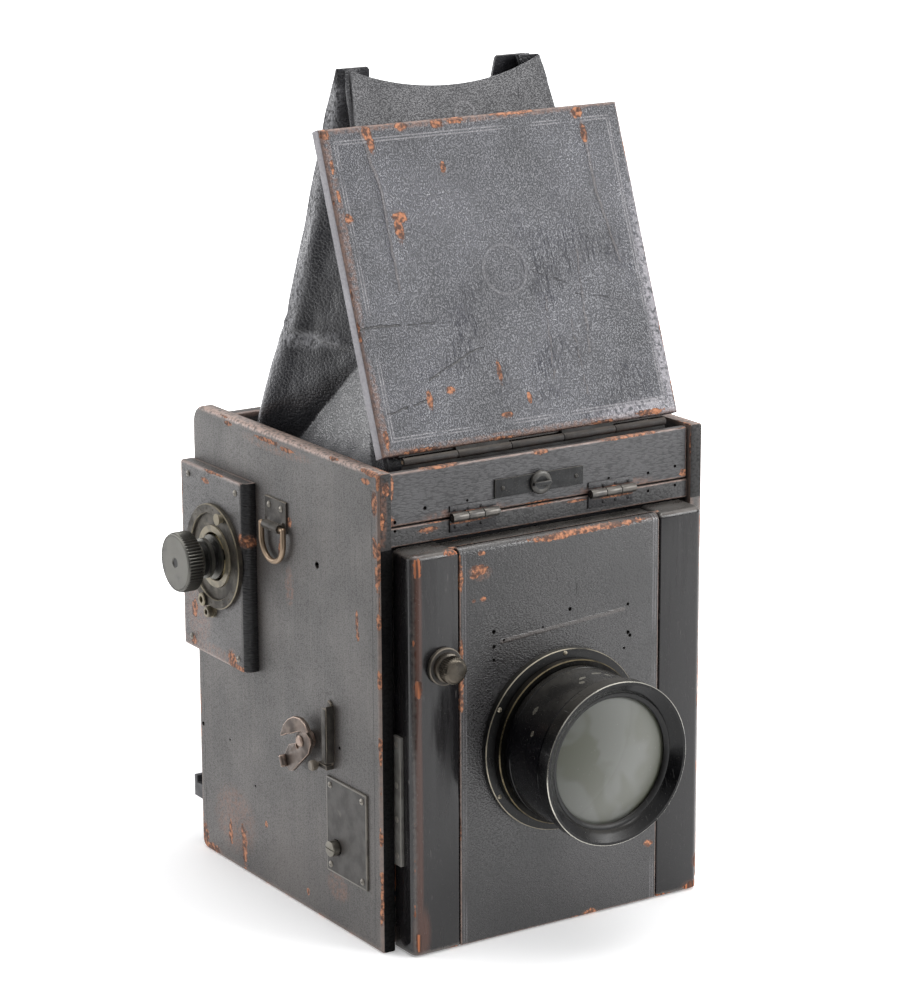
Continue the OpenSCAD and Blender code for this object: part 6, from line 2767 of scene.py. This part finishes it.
@dataclass
class ViewingHood:
    """The soft leather hood behind the lid: stiff front and rear panels, folded sides."""

    shop: Workshop
    foot: float = 196.2
    top: float = 424
    thick: float = 1.6
    keep: float = 0.17
    front_stations: tuple[Point, ...] = ((82, -69.1, 196.2), (78, -72.5, 240), (56, -4.1, 424))
    rear_stations: tuple[Point, ...] = (
        (82, 60, 196.2), (79, 51, 241.6), (72, 35.3, 294.7), (56, 9.9, 423.4),
    )
    rim: tuple[Point, ...] = (
        (-82, -67.2, 196.2), (-78, -70.6, 240), (-56, -2.2, 424), (-46, 2.9, 423.5), (-56, 8, 423.4),
        (-72, 33.4, 294.7), (-80, 49.1, 241.6), (-82, 58.1, 196.2),
    )
    fold: Point = (-51, -12, 283)
    crease: Point = (-80.5, 40, 250)

    def folding(self, piece: Piece, material: bpy.types.Material, *nodes: str) -> None:
        """Dresses a piece of the hood, puts it on the case and gives it its own mesh.

        Args:
            piece: The piece.
            material: Its material.
            *nodes: The CAD nodes that it stands for.
        """
        piece.dress(material, Slot.HOOD, *nodes, sharp=50)
        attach(piece.obj, Body.CASE.value)
        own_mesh(piece.obj)

    @staticmethod
    def along(stations: Sequence[Point], height: float) -> tuple[float, float]:
        """Finds a panel's half width and place at a height.

        Args:
            stations: Triples of half width, y and z, from the foot up.
            height: The height.

        Returns:
            The half width and y there.
        """
        for low, high in zip(stations, stations[1:]):
            if height <= high[2] or high is stations[-1]:
                share = (height - low[2]) / (high[2] - low[2])
                return (low[0] + (high[0] - low[0]) * share, low[1] + (high[1] - low[1]) * share)
        return stations[-1][0], stations[-1][1]

    def panel(
        self, name: str, stations: Sequence[Point], back: float, top: Callable[[float], float]
    ) -> Piece:
        """Builds a stiff panel with a cut out top.

        Args:
            name: The panel's name.
            stations: Triples of half width, y and z, from the foot up.
            back: 1 where the thickness runs towards +y, or -1.
            top: Gives the top edge's height at an x.

        Returns:
            The panel.
        """

        def place(u: float, v: float) -> Vector:
            """Gives a point of the panel's outer face.

            Args:
                u: The share of the way across.
                v: The share of the way up.

            Returns:
                The point.
            """
            half_top = stations[-1][0]
            x_top = (2 * u - 1) * half_top
            height = self.foot + (top(x_top) - self.foot) * v
            half, y = self.along(stations, height)
            x = (2 * u - 1) * half
            ripple = 0.35 * noise.noise(Vector((x * 0.03, height * 0.03, back)))
            edge = min(half - abs(x), 6) / 6
            return Vector((x, y + back * (0.35 + ripple) * edge, height))

        sheet = Piece.sheet(name, 96, 150, place).outward()
        with opened(sheet.obj) as mesh:
            facing = sum(face.normal.y for face in mesh.faces)
            bpy.ops.mesh.select_all(action="SELECT")
            if facing * back > 0:
                bpy.ops.mesh.flip_normals()
        sheet.modify("SOLIDIFY", thickness=self.thick * MM, offset=-1, use_even_offset=True)
        return sheet

    def front_top(self, x: float) -> float:
        """Gives the front panel's scooped top edge at an x."""
        radius = (56**2 + 10.6**2) / (2 * 10.6)
        return self.top - 10.6 + radius - math.sqrt(radius**2 - x**2)

    def rear_top(self, x: float) -> float:
        """Gives the rear panel's notched top edge at an x."""
        share = max(0, min(1, (38 - abs(x)) / 4))
        return 423.4 - 18 * share * share * (3 - 2 * share)

    def gusset(self, sign: int, plain: bpy.types.Material, glossy: bpy.types.Material) -> None:
        """Builds one folded side with its fold, its crease and its stitched ridge.

        Args:
            sign: -1 for the left side or 1 for the right one.
            plain: The finish of the smooth triangle at the foot.
            glossy: The finish of the rest.
        """
        bpy.ops.object.select_all(action="DESELECT")
        bpy.ops.mesh.primitive_circle_add(vertices=8, radius=0.05, fill_type="TRIFAN")
        side = Piece.placed("left_gusset" if sign < 0 else "right_gusset")
        vertices = side.obj.data.vertices
        hub = max(range(9), key=lambda i: sum(i in e.vertices for e in side.obj.data.edges))
        rim = [i for i in range(9) if i != hub]
        rim.sort(key=lambda i: math.atan2(vertices[i].co.y, vertices[i].co.x))
        for index, point in zip(rim, self.rim):
            vertices[index].co = Vector(point) * MM
        vertices[hub].co = Vector(self.fold) * MM
        low = {rim[5], rim[6], rim[7], hub}
        with opened(side.obj) as mesh:
            for face in mesh.faces:
                face.select_set({v.index for v in face.verts} <= low)
            bmesh.update_edit_mesh(side.obj.data)
            bpy.ops.mesh.dissolve_faces()
            bpy.ops.mesh.poke()
            mesh.verts.ensure_lookup_table()
            mesh.verts[-1].co = Vector(self.crease) * MM
            bpy.ops.mesh.select_all(action="SELECT")
            bpy.ops.mesh.quads_convert_to_tris()
        side.modify("SUBSURF", subdivision_type="SIMPLE", levels=5, render_levels=5)
        with opened(side.obj, "VERT") as mesh:
            for vertex in mesh.verts:
                vertex.select_set(not vertex.is_boundary)
            bmesh.update_edit_mesh(side.obj.data)
            bpy.ops.mesh.vertices_smooth(factor=0.5, repeat=6)
        ridge = (Vector(self.rim[5]), Vector(self.fold))

        def wrinkle(point: Vector) -> Vector:
            """Adds the ridge, the creases and the soft waves of old leather.

            Args:
                point: The point, in millimetres.

            Returns:
                Where the point goes.
            """
            line = ridge[1] - ridge[0]
            share = (point - ridge[0]).dot(line) / line.length_squared
            away = (point - ridge[0] - line * share).length
            out = 0
            if -0.1 < share < 0.95:
                out += 1.5 * math.exp(-((away / 1.7) ** 2)) * min(1, (0.95 - share) * 5)
            rim_away = min((point - Vector(p)).length for p in self.rim)
            calm = min(1, rim_away / 10)
            _, rear_y = self.along(self.rear_stations, point.z)
            out += calm * 2 * math.exp(-(((rear_y - point.y - 9) / 6) ** 2))
            slant = point.z * 0.05 + point.y * 0.05
            out += calm * 0.9 * noise.noise(Vector((slant, point.y * 0.09, 1.7)))
            out += calm * 0.35 * noise.noise(Vector((point.y * 0.2, point.z * 0.12, 5.1)))
            return Vector((point.x - out, point.y, point.z))

        side.shape(wrinkle)
        with opened(side.obj) as mesh:
            facing = sum(face.normal.x * face.calc_area() for face in mesh.faces)
            bpy.ops.mesh.select_all(action="SELECT")
            if facing > 0:
                bpy.ops.mesh.flip_normals()
        side.modify("SOLIDIFY", thickness=self.thick * MM, offset=1)
        side.join(*self.stitches())
        if sign > 0:
            side.turn(Matrix.Scale(-1, 4, (1, 0, 0)))
            side.obj.data.flip_normals()
        node = "hood_left_gusset" if sign < 0 else "hood_right_gusset"
        self.folding(side, glossy, node)
        side.patch(plain, lambda middle, normal: self.under_crease(middle))

    def under_crease(self, point: Vector) -> bool:
        """Says whether a point lies on the smooth triangle at the foot of a side.

        Args:
            point: The point, in millimetres.

        Returns:
            Whether it lies there.
        """
        corner, front = self.rim[7], self.rim[0]
        rise = (point.z - corner[2]) / (self.fold[2] - corner[2])
        rear_edge = corner[1] + (self.fold[1] - corner[1]) * rise
        front_edge = front[1] + (self.fold[1] - front[1]) * rise
        return front_edge < point.y < rear_edge - 1

    def highlight_bands(self) -> tuple[Crack, ...]:
        """Gives the pale bands along both sides' rear edges and ridges: painted highlights, standing
        for the light that the bent leather there catches.

        Returns:
            The bands.
        """
        rear = [(82, 54, 206), (80, 45, 262), (72, 29, 305), (57, 9, 410)]
        bands = []
        for sign in (-1, 1):
            points = [Vector((sign * x, y, z)) for x, y, z in rear]
            bands += [Crack(*ends, 8.5, 3) for ends in zip(points, points[1:])]
            ends = [Vector((-sign * p[0], p[1], p[2])) for p in (self.rim[5], self.fold)]
            bands.append(Crack(ends[0] - Vector((0, 4, 9)), ends[0].lerp(ends[1], 0.6), 6, 2))
        return tuple(bands)

    def fold_shade_lines(self) -> tuple[Crack, ...]:
        """Gives the dark lines under both sides' ridges and along their smooth triangles: seams,
        darkened as painted shade in the folds there.

        Returns:
            The lines.
        """
        shaded_seams = []
        for sign in (-1, 1):
            fold, *ends = [
                Vector((-sign * p[0], p[1], p[2] - 2.2)) for p in (self.fold, self.rim[5], self.rim[7])
            ]
            shaded_seams += [Crack(end, fold, 2.6, 0.6) for end in ends]
        return tuple(shaded_seams)

    def stitches(self) -> list[Piece]:
        """Builds the two rows of stitches along the left side's ridge.

        Returns:
            The stitches.
        """
        start, end = Vector(self.rim[5]), Vector(self.fold)
        line = (end - start).normalized()
        down = line.cross(Vector((-1, 0, 0))).normalized()
        made = []
        for row in (-1, 1):
            for step in range(11):
                base = start + line * (4 + step * 3.6) + down * row * 2
                base.x -= 2.2
                rod = Piece.rod("stitch", base, base + line * 2.2, 0.32, 8)
                made.append(rod)
        return made

    def build(self) -> None:
        """Builds and dresses the whole hood."""
        shared = {"centre": (0, 0, 310), "half": (200, 200, 200), "rub": 0.5}
        stiff = Leather(
            "hood_panel_leather", **shared, tint=screen(40, 40, 44), light=screen(53, 52, 57),
            rough=0.4, pebbles=1000, relief=0.07, valleys=0.4, sheen=0.75,
            pressed=((5, -13.1, 399.8), 5.5),
            cracks=(Crack((40.9, -6.2, 418.3), (38.5, -11.5, 404), 0.5, 0.5),), dust=0.2,
        ).material()
        # Painted highlight: the pale bands along the sides' rear edges and ridges. Painted shade: the
        # dark lines in the folds under the ridges.
        soft = Leather(
            "hood_side_leather", **shared, tint=screen(54, 54, 57), light=screen(74, 74, 78),
            rough=0.25, pebbles=760, relief=0.13, faded_and_highlight=screen(158, 158, 162), bands=self.highlight_bands(),
            cracks=self.fold_shade_lines(), stretch=(1, 1, 1), dust=0.05,
        ).material()
        plain = Leather(
            "hood_flap_leather", **shared, tint=screen(92, 92, 95), light=screen(112, 112, 115),
            rough=0.3, pebbles=800, relief=0.11, valleys=0.25, dust=0.15,
        ).material()
        front = self.panel("hood_front_panel", self.front_stations, 1, self.front_top)
        self.folding(front, stiff, "hood_front")
        # Painted highlight along the hood front's top rim.
        front.patch(self.shop.palette.lid_edge, lambda at, normal: normal.z > 0.5 and at.z > 400)
        rear = self.panel("hood_rear_panel", self.rear_stations, -1, self.rear_top)
        self.folding(rear, stiff, "hood_rear")
        self.gusset(-1, plain, soft)
        self.gusset(1, plain, soft)


@dataclass
class Interior:
    """What lies inside and behind: screen, mirror, blind, rollers, back and bush."""

    shop: Workshop

    def woodwork(self) -> None:
        """Dresses the wooden frames inside and behind."""
        palette = self.shop.palette
        for node, name, width, material, body in (
            ("bulkhead", "front_bulkhead", 0.6, palette.black_wood, Body.CASE),
            ("screen_frame", "screen_surround", 0.8, palette.black_wood, Body.CASE),
            ("mirror_frame", "mirror_tray", 0.4, palette.black_wood, Body.MIRROR),
            ("back_frame", "plate_back_frame", 1, palette.black_wood, Body.CASE),
            ("holder_rails", "plate_holder_rails", 0.6, palette.black_wood, Body.CASE),
        ):
            piece = self.shop.softened(node, name, width, 3).mark_edges()
            piece.done(material, body, Slot.BLACK_WOOD, node)

    def glasswork(self) -> None:
        """Dresses the focusing screen and the mirror."""
        palette = self.shop.palette
        screen_glass = self.shop.softened("focusing_screen", "ground_screen", 0.3, 2)
        screen_glass.done(palette.ground_glass, Body.CASE, Slot.GLASS, "focusing_screen")
        mirror = self.shop.softened("mirror_glass", "mirror_plate", 0.25, 2)
        mirror.done(palette.mirror, Body.MIRROR, Slot.GLASS, "mirror_glass")

    def blind(self) -> None:
        """Builds the shutter's cloth blind, stretched between its two rollers."""
        low, high = (-86, 82.6, 22), (86, 83.1, 192.4)

        def place(u: float, v: float) -> Vector:
            """Gives a point of the blind, with a faint ripple across it.

            Args:
                u: The share of the way across.
                v: The share of the way up.

            Returns:
                The point.
            """
            z = low[2] + (high[2] - low[2]) * v
            ripple = 0.05 * math.sin(z * 0.16) * math.sin(math.pi * u)
            return Vector((low[0] + (high[0] - low[0]) * u, 82.85 + ripple, z))

        blind = Piece.sheet("blind_cloth", 60, 60, place)
        blind.modify("SOLIDIFY", thickness=0.35 * MM, offset=0)
        blind.done(self.shop.palette.cloth, Body.CASE, Slot.CLOTH, "shutter_blind")

    def rollers(self) -> None:
        """Dresses the rollers and the tripod bush."""
        self.shop.keep("upper_roller", self.shop.palette.brass)
        self.shop.keep("lower_roller", self.shop.palette.bare_wood)
        bush = self.shop.softened("tripod_bush", "tripod_socket", 0.3, 2).mark_edges()
        bush.done(self.shop.palette.brass, Body.CASE, Slot.BRASS, "tripod_bush")

    def build(self) -> None:
        """Builds and dresses the inside and the back."""
        self.woodwork()
        self.glasswork()
        self.blind()
        self.rollers()


@dataclass
class Studio:
    """The pale floor, the soft lights and the camera that looks at the object."""

    eye: Point = (-0.9143, -1.4252, 0.6407)
    yaw: float = 32.91
    pitch: float = 14.66
    roll: float = 0.24
    focal: float = 122.14

    def floor(self) -> None:
        """Lays the floor, which ends just below the camera's view."""
        corners = [(-7, 7), (-7, 4), (-0.55, 0.1), (-0.35, -0.2), (0.12, -0.62), (1.9, -7)]
        corners += [(7, -7), (7, 7)]
        points = [(x / MM, y / MM) for x, y in corners]
        floor = Piece.outline("studio_floor", Axis.Z, points, -4, 0)
        floor.obj.data.materials.append(Paper("floor_paper").material())

    def light(self, name: str, spot: Point, aim: Point, size: Flat, power: float) -> None:
        """Hangs one soft lamp.

        Args:
            name: The lamp's name.
            spot: Where it hangs, in metres.
            aim: The point that it faces.
            size: How wide and high it is.
            power: Its power in watts.
        """
        bpy.ops.object.light_add(type="AREA", location=spot)
        lamp = bpy.context.active_object
        lamp.name = name
        lamp.data.shape = "RECTANGLE"
        lamp.data.size, lamp.data.size_y = size
        lamp.data.energy = power
        turn = (Vector(aim) - Vector(spot)).to_track_quat("-Z", "Y")
        lamp.rotation_euler = turn.to_euler()

    def world(self) -> None:
        """Fills the room with white light, dimmer on the side where the camera stands."""
        world = bpy.data.worlds.new("studio")
        bpy.context.scene.world = world
        world.use_nodes = True
        tree = world.node_tree
        back = tree.nodes["Background"]
        ray = Field.source(tree, "TexCoord", "Generated")
        dim = ray.vector("DOT_PRODUCT", (-0.8, -0.6, 0)).fade(0.74, 0.93)
        room = dim.between((0.62, 0.62, 0.63), (0.02, 0.02, 0.02))
        seen = Field.source(tree, "LightPath", "Is Camera Ray")
        Field.feed(back.inputs["Color"], seen.between(room, (1, 1, 1)))

    def camera(self) -> None:
        """Puts the camera where the photograph was taken from."""
        yaw, pitch, roll = map(math.radians, (self.yaw, self.pitch, self.roll))
        forward = Vector(
            (math.sin(yaw) * math.cos(pitch), math.cos(yaw) * math.cos(pitch), -math.sin(pitch))
        )
        right = Vector((math.cos(yaw), -math.sin(yaw), 0))
        down = -right.cross(forward)
        across = math.cos(roll) * right + math.sin(roll) * down
        below = -math.sin(roll) * right + math.cos(roll) * down
        turn = Matrix((across, -below, -forward)).transposed().to_4x4()
        data = bpy.data.cameras.new("photo_camera")
        data.lens = self.focal
        data.sensor_width = 36
        camera = bpy.data.objects.new("photo_camera", data)
        camera.matrix_world = Matrix.Translation(self.eye) @ turn
        bpy.context.collection.objects.link(camera)
        bpy.context.scene.camera = camera

    def build(self) -> None:
        """Sets up the whole studio."""
        self.floor()
        self.world()
        self.light("overhead", (0.1, 0.1, 2.1), (0, 0, 0.2), (1.8, 1.4), 30)
        self.light("front_box", (1.45, -1.65, 1.15), (0, 0, 0.32), (1.4, 1.2), 38)
        self.light("back_box", (-1.3, 1.7, 0.55), (0, 0, 0.2), (1.6, 1), 13)
        self.camera()
        bpy.context.scene.view_settings.view_transform = "Standard"


def main(shop: Workshop) -> None:
    """Builds and dresses the whole camera, one sub-assembly after another.

    Args:
        shop: The CAD nodes and the shared finishes.
    """
    for part in (
        CoveredCase(shop), WindingSide(shop), StrapFittings(shop), ReleaseFittings(shop),
        FrontStandard(shop), PortraitLens(shop), FrontFlap(shop), TopLid(shop), ViewingHood(shop),
        Interior(shop),
    ):
        part.build()
        log.info("%s is done", type(part).__name__)
    Studio().build()


if __name__ == "__main__":
    logging.basicConfig(level=logging.INFO, format="%(message)s")
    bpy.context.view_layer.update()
    main(Workshop(frame["nodes"], Palette()))
